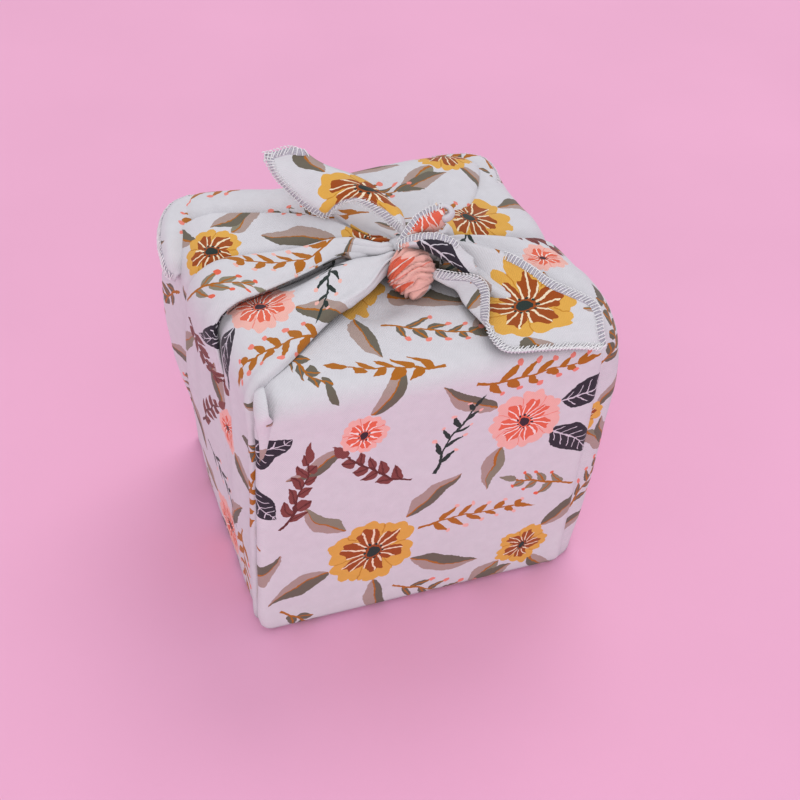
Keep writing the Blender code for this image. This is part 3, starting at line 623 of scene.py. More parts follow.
def edge_columns(points, normals, flat, plain):
    """Columns of points that roll a wing's first border under and lay it back below.
    "plain" is the wing before its pleats, which the lower layer follows."""
    border = points[0]
    outward = unit(border - points[1])
    n = unit(normals[0] - outward * (normals[0] * outward).sum(-1, keepdims=True))
    most = ROUND_FACE + (ROUND_LID - ROUND_FACE) * smooth((border[:, 2] - LID_FROM) / LID_EASE)
    r = np.clip((box_clearance(border) - CLEAR) / 2, LEAST_ROLL, most)[:, None]
    step = flat[0] - flat[1]
    axis = int(abs(step[:, 1]).mean() > abs(step[:, 0]).mean())
    sign = np.where(step[:, axis] > 0, 1.0, -1.0)
    columns, places = [], []

    def put(point, travelled):
        columns.append(point)
        moved = flat[0].copy()
        moved[:, axis] += sign * travelled
        places.append(moved)

    for k in range(1, TURN_STEPS + 1):
        a = math.pi * k / TURN_STEPS
        put(border + outward * r * math.sin(a) - n * r * (1 - math.cos(a)), r[:, 0] * a)
    # back under the outer cloth, settling on what lies beneath
    length = lengths(plain, 0)
    plain_normal = grid_normals(plain)
    mean = unit(plain_normal.mean(axis=0))
    for k in range(1, UNDER_STEPS + 1):
        d = UNDER * k / UNDER_STEPS
        at = at_distance(d, length, plain) + (border - plain[0]) * math.exp(-d / SETTLE)
        deep = np.minimum(2 * r[:, 0] + d * SINK, box_clearance(at) - UNDER_CLEAR)
        deep = np.minimum(np.maximum(deep, CLEAR), CLEAR + length[-1] * MOST_SINK)
        down = unit(unit(at_distance(d, length, plain_normal)) * OWN_NORMAL + mean)
        put(at - down * deep[:, None], r[:, 0] * math.pi + d)
    return columns, places


# Section of a pleat: share of its depth, share of its height, how far it stands
# over the lower layer in shares of the height, and its gap under the upper layer.
PLEAT_SECTION = (
    (0.0, 0.0, 0.0, 0.0), (0.5, 0.0, 0.0, 0.9), (1.0, 0.05, 0.0, 0.85), (1.04, 0.3, 0.0, 0.6),
    (0.9, 0.5, 0.0, 0.4), (0.4, 0.5, 0.0, 0.4), (0.0, 0.44, -0.1, 0.0), (0.0, 0.42, -0.6, 0.0),
    (0.0, 0.56, -0.95, 0.0), (0.0, 0.78, -0.92, 0.0), (0.0, 0.95, -0.6, 0.0), (0.0, 1.03, 0.0, 0.0))
PLEAT_SPREAD = 9.0       # the raised edge settles again within this width
PLEAT_ROWS = 6           # rows of the table beside a pleat that it can reach
PLEAT_FADE = 1.2         # a pleat lower than this closes
PLEAT_LIMIT = 0.9        # share of the cloth beside it that a pleat can take


def add_pleats(grid, side, runs, between, pleats):
    """Fold the cloth under itself along some rows; it runs on smoothly beyond."""
    for after, depths, heights in sorted(pleats, key=lambda pleat: -pleat[0]):
        i = after * between + between // 2
        beside = slice(i + 1, i + between * PLEAT_ROWS)
        normal = grid_normals(grid[:beside.stop])
        w = np.array([eased_line(r, side.keys, depths) for r in runs]).clip(0)
        h = np.array([eased_line(r, side.keys, heights) for r in runs]).clip(0)
        raised = h * np.exp(-(lengths(grid[beside], 0) / PLEAT_SPREAD) ** 2)
        grid[beside] = grid[beside] + normal[beside] * raised[..., None]
        a, b, n = grid[i], grid[i + 1], normal[i]
        to = unit(b - a - n * ((b - a) * n).sum(axis=1, keepdims=True))
        upper = grid[beside]
        length = lengths(upper, 0)
        fade = smooth(h / PLEAT_FADE)
        columns = []
        for k, (deep, high, over, gap) in enumerate(PLEAT_SECTION):
            if deep == 0.0:
                base = a + (b - n * h[:, None] - a) * (k + 1) / (len(PLEAT_SECTION) + 1)
                columns.append(base + to * (h * over)[:, None] + n * (h * high)[:, None])
                continue
            d = np.minimum(w * deep, length[-1] * PLEAT_LIMIT)
            raised = h * np.exp(-(w * deep / PLEAT_SPREAD) ** 2)
            lower = unit(at_distance(d, length, normal[beside])) * (raised * (1 - high) + gap * fade)[:, None]
            columns.append(at_distance(d, length, upper) - lower)
        grid = np.concatenate((grid[:i + 1], np.stack(columns), grid[i + 1:]))
    return grid


# How the foot of a wing turns in under the base: how far, and at what level.
FOOT_TURN = ((0.2, 1.6), (1.4, 0.6), (4.0, 0.3), (12.0, 0.28))
FOOT_LIFT = 6.0          # a fold that stands out by this much turns in twice as far
HEART_IN, HEART_DOWN = 9.0, 2.0      # where the folds of a wing meet inside the knot
HEART_SHARES = (0.55, 0.8)           # rows between there and the neck


def finish_ends(grid, side):
    """Run a wing on into the knot at its neck and in under the base at its foot."""
    heart = grid[:, 0].mean(axis=0) - side.out * HEART_IN - np.array((0, 0, HEART_DOWN))
    neck = [heart + (grid[:, 0] - heart) * s for s in HEART_SHARES]
    foot = grid[:, -1]
    lift = (foot @ side.out) - side.reach
    turned = []
    for inwards, level in FOOT_TURN:
        p = foot - side.out * (inwards * (1 + lift / FOOT_LIFT))[:, None]
        p[:, 2] = level
        turned.append(p)
    return np.concatenate((np.stack(neck, axis=1), grid, np.stack(turned, axis=1)), axis=1)


GATHER_HEIGHT, GATHER_REACH = 0.75, 13.0     # fine pleats where the cloth is drawn into the knot
GATHERS, GATHER_DRIFT = 5.5, (0.35, 9)       # how many, and how unevenly they are spread
RELIEF_REACH = 25.0      # the creases are full this far from the neck


def wing(cloth, side, rows, between, stations, pleats, shift):
    """One gathered wing: its folds, its rolled borders and the layers beneath."""
    runs = side.stations(*stations)
    ts = np.linspace(0.0, 1.0, (len(rows) - 1) * between + 1)
    table = [catmull(rows, t) for t in ts]
    grid = np.array([[side.path(row, run) for run in runs] for row in table])
    normal = grid_normals(grid)
    run = np.array(runs)
    gather = GATHER_HEIGHT * np.exp(-run / GATHER_REACH)
    wave = np.cos(2 * math.pi * (GATHERS * ts + GATHER_DRIFT[0] * np.sin(GATHER_DRIFT[1] * ts)))[:, None]
    grid = grid + normal * (gather[None, :] * wave)[..., None]
    grid = grid + normal * (relief(grid) * smooth(run / RELIEF_REACH)[None, :])[..., None]
    plain = finish_ends(grid, side)
    grid = finish_ends(add_pleats(grid, side, runs, between, pleats), side)
    # flat place: along the run, and across by true length from the middle row
    step = np.linalg.norm(np.diff(grid, axis=1), axis=2).mean(axis=0)
    travel = np.concatenate(([0.0], np.cumsum(step)))
    travel = travel[-1] - travel
    width = lengths(grid, 0)
    mid = len(grid) // 2
    over = (grid[mid] @ side.across)[None, :] + width - width[mid][None, :]
    beyond = np.broadcast_to(side.reach + travel, over.shape)
    flat = (side.out[0] * beyond, over) if side.out[0] else (over, beyond)
    flat = np.stack(flat, axis=-1) + shift
    normal = grid_normals(grid)
    front, front_flat = edge_columns(grid, normal, flat, plain)
    back, back_flat = edge_columns(grid[::-1], normal[::-1], flat[::-1], plain[::-1])
    cloth.add(np.concatenate((np.stack(front[::-1]), grid, np.stack(back))),
              np.concatenate((np.stack(front_flat[::-1]), flat, np.stack(back_flat))))


# ---- knot and corners ----
def sheet_grid(rows, along, across):
    """Points of a free corner through its sections."""
    grid = []
    for i in range(along):
        section = [catmull([row[k] for row in rows], i / (along - 1)) for k in range(4)]
        grid.append([catmull(section, j / (across - 1)) for j in range(across)])
    return np.array(grid)


def sheet_flat(grid, place, turn):
    """Flat place of a corner's points, by true length along and across."""
    mid = grid.shape[1] // 2
    along = lengths(grid[:, mid], 0)[:, None]
    width = lengths(grid, 1)
    width = width - width[:, mid:mid + 1]
    a = math.radians(turn)
    u = place[0] + along * math.cos(a) - width * math.sin(a)
    v = place[1] + along * math.sin(a) + width * math.cos(a)
    return np.stack((u, v), axis=-1)


# Directions of the knot as it sits: to its right, up, and towards its front.
KNOT_RIGHT = unit((0.956, -0.195, 0.206))
KNOT_UP = unit((0.0, 0.732, 0.711))
KNOT_FRONT = unit(np.cross(KNOT_RIGHT, KNOT_UP))
TAPER_EASE, DEPTH_TAPER = 0.9, 0.4           # a pouch narrows towards its foot, less so in depth
PLEAT_BOW, PLEAT_NARROW = 0.03, 0.35         # the pleats bow, and crowd at the pouch's sides
WANDER, WANDER_SIZE = 1.7, 6.0               # and wander by this much
PLEAT_SHARPNESS, PLEAT_MEAN = 0.6, 0.6       # shape of a pleat, and its mean height, taken off
FINE_PLEATS = 0.7                            # share of the fine pleats in it
FINE_SCALES = (0.9, 0.12, 0.1)               # the fine ones: across the pleats, along, and in depth
WANDER_PLACE, FINE_PLACE = Vector((3.1, 1.7, 0.4)), Vector((0.3, 5.1, 2.2))


def pouch(cloth, centre, half, pitch, height, lean, place, pull, around, up, taper=0.25):
    """A pleated ball of wrapped cloth: its half widths, the pitch, height and lean of its
    pleats, its flat place and how much of the flat cloth goes along and across them."""
    centre = np.array(centre)
    grid = []
    for i in range(up + 1):
        lat = -math.pi / 2 + math.pi * i / up
        ring = []
        for j in range(around + 1):
            lon = 2 * math.pi * j / around
            x, y, z = math.cos(lat) * math.cos(lon), math.sin(lat), math.cos(lat) * math.sin(lon)
            x = x * half[0] * (1.0 - taper * smooth(-y * TAPER_EASE))
            z = z * half[2] * (1 - DEPTH_TAPER * taper * smooth(-y))
            y = y * half[1]
            # place across the pleats, which bow and wander
            w = (y - lean * x + PLEAT_BOW * x * x) * (1 + PLEAT_NARROW * (x / half[0]) ** 2)
            w += WANDER * noise.noise(Vector((x, y, z)) / WANDER_SIZE + WANDER_PLACE)
            fine = Vector([value * scale for value, scale in zip((w, x, z), FINE_SCALES)])
            ridge = abs(math.sin(math.pi * w / pitch)) ** PLEAT_SHARPNESS - PLEAT_MEAN
            ridge += FINE_PLEATS * noise.noise(fine + FINE_PLACE)
            swell = 1 + height * ridge / half[0]
            ring.append(centre + (KNOT_RIGHT * x + KNOT_UP * y + KNOT_FRONT * z) * swell)
        grid.append(ring)
    grid = np.array(grid)
    right, above = (grid - centre) @ KNOT_RIGHT, (grid - centre) @ KNOT_UP
    fold = unit((lean, 1.0))
    along, over = right * fold[1] + above * fold[0], above * fold[1] - right * fold[0]
    cloth.add(grid, np.stack((place[0] + along * pull[0], place[1] + over * pull[1]), axis=-1))


HALF_WIDTH, HALF_DEPTH = BOX_WIDTH / 2, BOX_DEPTH / 2
LEFT, RIGHT, BACK = (-1, 0, 0), (1, 0, 0), (0, 1, 0)
# Directions, reach and neck of a side; folds and the steps between their rows;
# steps along the lid, the bend and the face; pleats; shift on the flat cloth.
WINGS = (
    ((LEFT, BACK, HALF_WIDTH, (-3.1, -4, 181.5)), LEFT_FAR_FOLDS, 6, (22, 7, 27), (), (0, 55)),
    ((LEFT, BACK, HALF_WIDTH, (-2.0, -4, 182)), LEFT_NEAR_FOLDS, 5, (22, 7, 27), LEFT_NEAR_PLEATS, (0, 0)),
    ((RIGHT, BACK, HALF_WIDTH, (24.7, -6, 180.6)), RIGHT_FAR_FOLDS, 6, (20, 7, 27), (), (0, 40)),
    ((RIGHT, BACK, HALF_WIDTH, (26.2, -6, 181)), RIGHT_NEAR_FOLDS, 7, (20, 7, 27), (), (0, -6)),
    ((BACK, RIGHT, HALF_DEPTH, (6, 4, 179)), BACK_FOLDS, 6, (20, 7, 24), BACK_PLEATS, (0, 0)),
)
# Free corners: sections, points along and across, flat place and turn.
SHEETS = {
    "left_tail": (LEFT_TAIL, 84, 22, (-60, -144), 22),
    "right_tail": (RIGHT_TAIL, 56, 30, (9, -101), 200),
    "tongue": (TONGUE, 34, 14, (30, -190), 0),
    "wrap_edge": (WRAP_EDGE, 40, 16, (52, -186), 0),
    "curl": (CURL, 34, 10, (-60, -80), 0),
    "corner_lip": (CORNER_LIP, 26, 12, (-86, -80), 270),
    "left_back_lip": (LEFT_BACK_LIP, 40, 12, (-300, -60), 0),
    "right_back_lip": (RIGHT_BACK_LIP, 40, 12, (300, -60), 0),
}


def build_cloth(sizes):
    """All grids of the cloth; returns the parts and the grids whose hems show."""
    cloth = ClothParts()
    box_panels(cloth)
    for side, rows, between, stations, pleats, shift in WINGS:
        wing(cloth, Side(*side), rows, between, stations, pleats, shift)
    ball = sizes.ball_width / MM / 2
    pouch(cloth, (5.3, -17.7, 176.4), (ball, ball * 1.06, ball * 0.98), pitch=3.1, height=2.1, lean=0.36,
          place=(58.5, -201.5), pull=(0.3, 1.05), around=104, up=62)
    # a second wrap behind it
    pouch(cloth, (12.0, -4.5, 180.0), (16.0, 8.5, 9.0), pitch=4.4, height=1.3, lean=-0.3,
          place=(46, -160), pull=(1.1, 2.2), around=52, up=32, taper=0.1)
    shown = {}
    for name, (rows, along, across, place, turn) in SHEETS.items():
        shown[name] = sheet_grid(rows, along, across)
        cloth.add(shown[name], sheet_flat(shown[name], place, turn))
    return cloth, shown


# ---- shader nodes ----
def add_node(tree, kind, inputs=(), **settings):
    """Add a node, set it up, and join or set its inputs by place or name.
    An input that is None stays as it is."""
    node = tree.nodes.new(kind)
    for name, value in settings.items():
        setattr(node, name, value)
    pairs = inputs.items() if isinstance(inputs, dict) else enumerate(inputs)
    for key, value in pairs:
        if value is None:
            continue
        if isinstance(value, bpy.types.NodeSocket):
            tree.links.new(value, node.inputs[key])
        else:
            node.inputs[key].default_value = value
    return node


def operation(name):
    """Method of a Value that adds a node of this operation."""
    def method(self, *others):
        inputs = [v.socket if isinstance(v, Value) else v for v in (self, *others)]
        return Value(self.tree, add_node(self.tree, "ShaderNodeMath", inputs, operation=name).outputs[0])
    return method


class Value:
    """A number inside a node tree; arithmetic between values adds the nodes."""

    def __init__(self, tree, socket):
        self.tree, self.socket = tree, socket

    __add__, __sub__ = operation("ADD"), operation("SUBTRACT")
    __mul__, __truediv__ = operation("MULTIPLY"), operation("DIVIDE")
    __pow__, __abs__ = operation("POWER"), operation("ABSOLUTE")
    __lt__, __gt__ = operation("LESS_THAN"), operation("GREATER_THAN")
    at_least, at_most = operation("MAXIMUM"), operation("MINIMUM")
    sine, cosine, angle = operation("SINE"), operation("COSINE"), operation("ARCTAN2")
    sign, floor, fraction = operation("SIGN"), operation("FLOOR"), operation("FRACT")
    root, times_plus = operation("SQRT"), operation("MULTIPLY_ADD")

    def share(self):
        """The value, held between 0 and 1."""
        return self.at_least(0.0).at_most(1.0)

    def swell(self, power):
        """Opens from 0 and closes to 0 again as the value goes from 0 to 1."""
        return ((self.share() ** power) * math.pi).sine()


def vector_math(tree, kind, *inputs, scale=None):
    """Result of a vector operation: a vector, or a number for a length or a dot product."""
    node = add_node(tree, "ShaderNodeVectorMath", {**dict(enumerate(inputs)), "Scale": scale}, operation=kind)
    return node.outputs[1 if kind in ("LENGTH", "DOT_PRODUCT") else 0]


def clouds(tree, place, scale, detail, roughness=None, output=0):
    """Soft noise: its value, or its colour as output 1."""
    return add_node(tree, "ShaderNodeTexNoise", {"Vector": place, "Scale": scale, "Detail": detail,
                                                 "Roughness": roughness}).outputs[output]


def mix(tree, share, low, high):
    """Two colours mixed, the second by its share."""
    return add_node(tree, "ShaderNodeMix", {0: share, 6: low, 7: high}, data_type="RGBA").outputs[2]


# ---- print ----
# The print repeats every PRINT_REPEAT millimetres.  One row for each motif: its
# place on the flat cloth, its turn in degrees, and then the numbers and inks that
# MOTIFS lists for its kind.
PRINT_REPEAT = (168.0, 184.0)
INKS = {
    "mustard": "#E3AC4C", "honey": "#C98A2B", "rust": "#A04A10", "cream": "#F6E6C6", "pine": "#26332F",
    "blush": "#F4B9AE", "coral": "#E9694E", "petal_line": "#FCE9E2", "plum": "#3B2430",
    "charcoal": "#2D2833", "mist": "#D8D2DB", "taupe": "#AE9890", "olive": "#6C6557", "ochre": "#B26A17",
    "wine": "#82423E", "dark_wine": "#632A28", "bud": "#F0887A", "sage": "#8C8672",
}
BLOOMS = (
    (-30, -126, 20, 24.5, 6, 15, "mustard", "honey", "rust", "cream", "pine"),
    (46, -200, -30, 20.0, 7, 18, "blush", "bud", "coral", "petal_line", "plum"),
    (57, -102, 80, 15.5, 5, 13, "mustard", "honey", "rust", "cream", "pine"),
    (-38, -212, 10, 12.5, 5, 12, "blush", "bud", "coral", "petal_line", "plum"),
)
LEAVES = (
    (-8, -114, 22, 42, 6.4, 10, 0.0, "olive", "taupe", "ochre"),
    (-12, -147, -42, 37, 5.8, -8, 0.0, "taupe", "olive", "ochre"),
    (-52, -118, 152, 38, 6.2, 8, 0.0, "olive", "taupe", "ochre"),
    (-45, -148, 226, 33, 5.6, -9, 0.0, "taupe", "sage", "ochre"),
    (-28, -102, 82, 31, 5.6, 7, 0.0, "olive", "taupe", "ochre"),
    (60, -190, 38, 36, 9.4, -6, 1.0, "charcoal", "charcoal", "mist"),
    (64, -208, -22, 34, 8.8, 7, 1.0, "charcoal", "charcoal", "mist"),
    (36, -184, 102, 31, 5.2, 7, 0.0, "sage", "taupe", "ochre"),
    (30, -212, 214, 36, 6.0, -8, 0.0, "taupe", "olive", "ochre"),
    (66, -114, -46, 35, 5.8, 8, 0.0, "olive", "taupe", "ochre"),
    (62, -90, 58, 32, 5.4, -7, 0.0, "taupe", "olive", "ochre"),
    (46, -92, 142, 28, 5.0, 6, 0.0, "sage", "taupe", "ochre"),
    (-48, -206, 152, 30, 5.4, -6, 0.0, "olive", "taupe", "ochre"),
    (-34, -224, -58, 28, 5.2, 6, 0.0, "taupe", "olive", "ochre"),
    (26, -74, -24, 30, 5.2, -6, 0.0, "olive", "taupe", "ochre"),
)
SPRAYS = (
    (-6, -136, -10, 52, 13, 1.9, 10.0, 44, 9, 1.3, "ochre", "ochre", "blush"),
    (-78, -158, -62, 46, 12, 3.2, 8.5, 42, -9, 0.0, "dark_wine", "wine", "wine"),
    (-78, -94, 44, 38, 11, 2.9, 8.5, 40, 8, 0.0, "ochre", "olive", "wine"),
    (0, -176, -78, 42, 11, 1.2, 9.5, 42, 8, 1.1, "pine", "pine", "blush"),
    (-16, -94, 36, 42, 12, 2.0, 9.5, 44, -9, 1.4, "ochre", "olive", "bud"),
    (-12, -174, 208, 42, 11, 2.8, 8.5, 40, 7, 0.0, "dark_wine", "wine", "wine"),
    (16, -232, 8, 52, 12, 2.1, 10.0, 44, -8, 1.5, "ochre", "ochre", "bud"),
    (80, -146, 188, 34, 11, 2.3, 9.0, 40, 6, 1.2, "ochre", "sage", "coral"),
    (2, -60, 184, 44, 11, 2.2, 9.0, 42, 6, 0.0, "ochre", "ochre", "wine"),
)
FULL_TURN = 2 * math.pi


# Each kind of motif is worked out from "spot": the place x and y in millimetres
# from the motif's root, and its distance from there.
def bloom_marks(spot, radius, petals, lines):
    """Outline of an open bloom, and what covers it, from the lowest layer up."""
    x, y, distance = spot
    r, a = distance / radius, y.angle(x)
    wave = abs((a * (petals * 0.5)).cosine())
    lobe = wave ** 0.5
    ruffle = abs(a.times_plus(8.0, 1.3).sine())
    outline = r < ruffle.times_plus(0.09, lobe.times_plus(0.17, 0.74))
    fold = (wave * r < 0.045) * (r > 0.5)
    # ragged heart
    rim = lobe.times_plus(0.36, 0.34)
    rag = a.times_plus(17.0, 0.4).sine()
    heart = r < rag.times_plus(0.035, rim)
    # fine light lines that leave the eye
    ray = abs((a * (lines * (1 / FULL_TURN))).fraction() - 0.5) * r
    line = (ray < 0.045) * (r > 0.19) * (r < rag.times_plus(0.05, rim))
    # ten seeds round the eye
    beside, beyond = ((a * (10 / FULL_TURN)).fraction() - 0.5) * 0.14, r - 0.2
    seeds = beside.times_plus(beside, beyond * beyond) < 0.0011
    return outline, (("Fold", fold), ("Heart", heart), ("Line", line), ("Eye", r < 0.14), ("Eye", seeds))


def leaf_marks(spot, length, width, bend, veins):
    """Outline of an almond leaf, and its light half, veins and rib."""
    x, y = spot[:2]
    t = x / length
    wide = t.swell(0.8).at_least(0.0) ** 0.85 * width
    side = y - t.times_plus(-1.0, 1.0) * t * bend
    off = abs(side)
    rib = off < t.share().times_plus(-0.5, 0.62)
    vein = abs((off.times_plus(-0.9, x) / 5.2).fraction() - 0.5) < 0.065
    vein = vein * (off < wide * 0.72) * veins
    return off < wide, (("Light", side > 0.0), ("Rib", vein), ("Rib", rib))


def spray_marks(spot, length, leaf, width, gap, slant, bend, berry):
    """Outline of a leafy spray, and its blades, its stem with twigs, and its berries."""
    x, y = spot[:2]
    t = x / length
    side = y - t * t * bend
    off = abs(side)
    cosine, sine = slant.cosine(), slant.sine()
    # one twig in every gap, those on the two sides half a gap apart
    u = (side.sign() * 0.25).times_plus(gap, x - off * (cosine / sine))
    root = (u / gap + 0.5).floor() * gap
    du = u - root
    across, along = du * sine, du.times_plus(cosine, off / sine)
    beside = abs(across)
    up = root / length
    reach = (up * up).times_plus(-0.5, 1.0) * leaf
    p = along / reach
    grown = (up > 0.1) * (up < 0.97)
    blades = (beside < p.swell(0.7) * width) * grown
    last = off < ((x - length) / leaf).swell(0.7) * width
    blades = blades.at_least(last)
    stem = (off < t.times_plus(-0.35, 0.8)) * (x > 0.0) * (x < length)
    stem = stem.at_least((beside < 0.42) * (p < 0.96) * grown)
    # a berry at the end of each twig
    beyond = along - reach
    fruit = (across.times_plus(across, beyond * beyond).root() < berry) * grown
    return stem.at_least(blades).at_least(fruit), (("Blade", blades), ("Stem", stem), ("Fruit", fruit))


# Kinds of motif in the order they are printed: name, numbers, inks with the lowest
# layer's first, how it is worked out, and its rows.
MOTIFS = (
    ("almond_leaf", ("Length", "Width", "Bend", "Veins"), ("Dark", "Light", "Rib"), leaf_marks, LEAVES),
    ("leafy_spray", ("Length", "Leaf", "Width", "Gap", "Slant", "Bend", "Berry"), ("Stem", "Blade", "Fruit"),
     spray_marks, SPRAYS),
    ("open_bloom", ("Radius", "Petals", "Lines"), ("Petal", "Fold", "Heart", "Line", "Eye"),
     bloom_marks, BLOOMS),
)


def new_group(name, inputs, outputs, kind="Shader"):
    """Empty node group with its sockets, and what comes in."""
    tree = bpy.data.node_groups.new(name, kind + "NodeTree")
    for sockets, side in ((inputs, "INPUT"), (outputs, "OUTPUT")):
        for label, socket in sockets:
            tree.interface.new_socket(label, in_out=side, socket_type="NodeSocket" + socket)
    return tree, add_node(tree, "NodeGroupInput").outputs


def motif_group(name, numbers, inks, marks):
    """Node group that draws one kind of motif: its colour, and a mask of its outline."""
    inputs = [("Place", "Vector")] + [(n, "Float") for n in numbers] + [(i, "Color") for i in inks]
    tree, entry = new_group(name, inputs, (("Colour", "Color"), ("Mask", "Float")))
    split = add_node(tree, "ShaderNodeSeparateXYZ", (entry["Place"],)).outputs
    distance = vector_math(tree, "LENGTH", entry["Place"])
    spot = [Value(tree, socket) for socket in (split[0], split[1], distance)]
    outline, layers = marks(spot, *(Value(tree, entry[label]) for label in numbers))
    colour = entry[inks[0]]
    for ink, cover in layers:
        colour = mix(tree, cover.socket, colour, entry[ink])
    add_node(tree, "NodeGroupOutput", {"Colour": colour, "Mask": outline.socket})
    return tree


def place_group():
    """Node group for the place of the cloth seen from a motif, inside the print's repeat."""
    inputs = (("Place", "Vector"), ("Centre", "Vector"), ("Turn", "Float"))
    tree, entry = new_group("motif_place", inputs, (("Place", "Vector"),))
    moved = vector_math(tree, "SUBTRACT", entry["Place"], entry["Centre"])
    half = (PRINT_REPEAT[0] / 2, PRINT_REPEAT[1] / 2, 1.0)
    wrapped = vector_math(tree, "WRAP", moved, half, tuple(-h for h in half))
    turned = add_node(tree, "ShaderNodeVectorRotate", {"Vector": wrapped, "Angle": entry["Turn"]},
                      rotation_type="Z_AXIS").outputs[0]
    add_node(tree, "NodeGroupOutput", {"Place": turned})
    return tree


def printed_colour(tree, place, ground, inks):
    """Paint every motif of the tables over the ground colour."""
    spot = place_group()
    colour = ground
    for name, numbers, layers, marks, rows in MOTIFS:
        group = motif_group(name, numbers, layers, marks)
        for u, v, turn, *facts in rows:
            at = add_node(tree, "ShaderNodeGroup", {"Place": place, "Centre": (u, v, 0.0),
                                                    "Turn": -math.radians(turn)}, node_tree=spot)
            inputs = {"Place": at.outputs["Place"]}
            for label, value in zip(numbers + layers, facts):
                if label in layers:
                    value = inks[value]
                inputs[label] = math.radians(value) if label == "Slant" else value
            motif = add_node(tree, "ShaderNodeGroup", inputs, node_tree=group).outputs
            colour = mix(tree, motif["Mask"], colour, motif["Colour"])
    return colour


# ---- materials ----
def new_material(name):
    mat = bpy.data.materials.new(name)
    mat.use_nodes = True
    tree = mat.node_tree
    return mat, tree, tree.nodes["Principled BSDF"]


def surface(tree, shader, colour, height, strength, distance, roughness, sheen=None, sheen_roughness=None):
    """Join a material's colour and bump, and set how its surface takes the light."""
    bump = add_node(tree, "ShaderNodeBump", {"Strength": strength, "Distance": distance, "Height": height})
    tree.links.new(colour, shader.inputs["Base Color"])
    tree.links.new(bump.outputs[0], shader.inputs["Normal"])
    shader.inputs["Roughness"].default_value = roughness
    if sheen is not None:
        shader.inputs["Sheen Weight"].default_value = sheen
        shader.inputs["Sheen Roughness"].default_value = sheen_roughness


def mottled(tree, cloud, low, high, dimmed, colour):
    """A colour that is dimmed where the cloud is thin."""
    ramp = add_node(tree, "ShaderNodeMapRange", {"Value": cloud, "From Min": low, "From Max": high})
    return mix(tree, ramp.outputs[0], tuple(c * dimmed for c in colour), tuple(colour))


def own_place(tree):
    """Place on the object, in metres."""
    return add_node(tree, "ShaderNodeTexCoord").outputs["Object"]


def in_millimetres(tree, place):
    return vector_math(tree, "SCALE", place, scale=1 / MM)


def cotton_material(sizes):
    """Cotton twill, pigment printed: matt, softly fuzzy, with fine diagonal ribs, and painted shade deep in
    its folds.
    """
    mat, tree, shader = new_material("printed_cotton_twill")
    inks = {name: linear(code) for name, code in INKS.items()}
    inks.update({name: tuple(getattr(sizes, name)) for name in INKS if hasattr(sizes, name)})
    flat = add_node(tree, "ShaderNodeUVMap", uv_map="flat_cloth").outputs[0]
    mm = in_millimetres(tree, flat)
    # the edges of hand-drawn motifs wander: first widely, then in fine steps
    place = vector_math(tree, "SCALE", mm, scale=1.0 / sizes.print_size)
    for size, reach in ((11.0, 2.6), (1.8, 0.45)):
        cloud = clouds(tree, mm, scale=1.0 / size, detail=0.0, output=1)
        drift = vector_math(tree, "SUBTRACT", cloud, (0.5, 0.5, 0.5))
        drift = vector_math(tree, "SCALE", drift, scale=reach * 2)
        place = vector_math(tree, "ADD", place, drift)
    place = vector_math(tree, "MULTIPLY", place, (1.0, 1.0, 0.0))
    ink = printed_colour(tree, place, tuple(sizes.ground), inks)
    # 2/1 twill with ribs 0.65 mm apart, drawn 0.95 mm apart so that they show
    rib = Value(tree, vector_math(tree, "DOT_PRODUCT", mm, (4.6, 4.75, 0.0))).sine()
    fibre = Value(tree, clouds(tree, mm, scale=2.4, detail=2.0))
    # uneven take-up of the pigment, and the ribs of the weave showing through
    blot = Value(tree, clouds(tree, mm, scale=0.16, detail=4.0, roughness=0.65))
    tone = rib.times_plus(0.018, blot.times_plus(0.16, 0.905))
    # painted shade: the colour is darkened deep among the folds, by the ambient occlusion within 12 mm
    fold_occlusion = add_node(tree, "ShaderNodeAmbientOcclusion", {"Distance": 0.012}, samples=4).outputs["AO"]
    deep = add_node(tree, "ShaderNodeMapRange", {"Value": fold_occlusion, "From Min": 0.1, "From Max": 0.8,
                                                 "To Min": 0.42, "To Max": 1.0}).outputs[0]
    tone = tone * Value(tree, deep)
    shade = vector_math(tree, "SCALE", ink, scale=tone.socket)
    weave = fibre.times_plus(1.4, rib)
    surface(tree, shader, shade, weave.socket, strength=0.55, distance=0.00007,
            roughness=0.88, sheen=0.12, sheen_roughness=0.5)
    shader.inputs["Specular IOR Level"].default_value = 0.3
    return mat


def thread_material(colour):
    """Spun polyester overlock thread: white, faintly shiny, twisted and a little fuzzy."""
    mat, tree, shader = new_material("white_overlock_thread")
    mm = in_millimetres(tree, own_place(tree))
    # painted shade: the thread colour is dimmed in soft random patches, standing in for thread that lies
    # paler on top of the loops and greyer where it dives into the cloth
    tint = mottled(tree, clouds(tree, mm, scale=0.55, detail=3.0), low=0.3, high=0.7, dimmed=0.8,
                   colour=colour)
    # plies 0.4 mm apart
    ply = Value(tree, vector_math(tree, "DOT_PRODUCT", mm, (9.0, 8.0, 10.0))).sine()
    twist = Value(tree, clouds(tree, mm, scale=7.0, detail=2.0)).times_plus(1.2, ply)
    surface(tree, shader, tint, twist.socket, strength=0.5, distance=0.00005,
            roughness=0.62, sheen=0.25, sheen_roughness=0.4)
    return mat


def edge_material(colour):
    """Cut edge of the cotton between the overlock threads, frayed and duller; its colour is painted shade of
    the threads: darker than the cloth, and dimmed to 0.45 in patches of the fray noise.
    """
    mat, tree, shader = new_material("cotton_under_overlock")
    fray_and_painted_shade = clouds(tree, in_millimetres(tree, own_place(tree)), scale=1.6, detail=4.0, roughness=0.7)
    # painted shade between the threads: the colour is dimmed in patches of the fray noise
    tint = mottled(tree, fray_and_painted_shade, low=0.35, high=0.68, dimmed=0.45, colour=colour)
    surface(tree, shader, tint, fray_and_painted_shade, strength=0.6, distance=0.0001, roughness=0.92)
    return mat


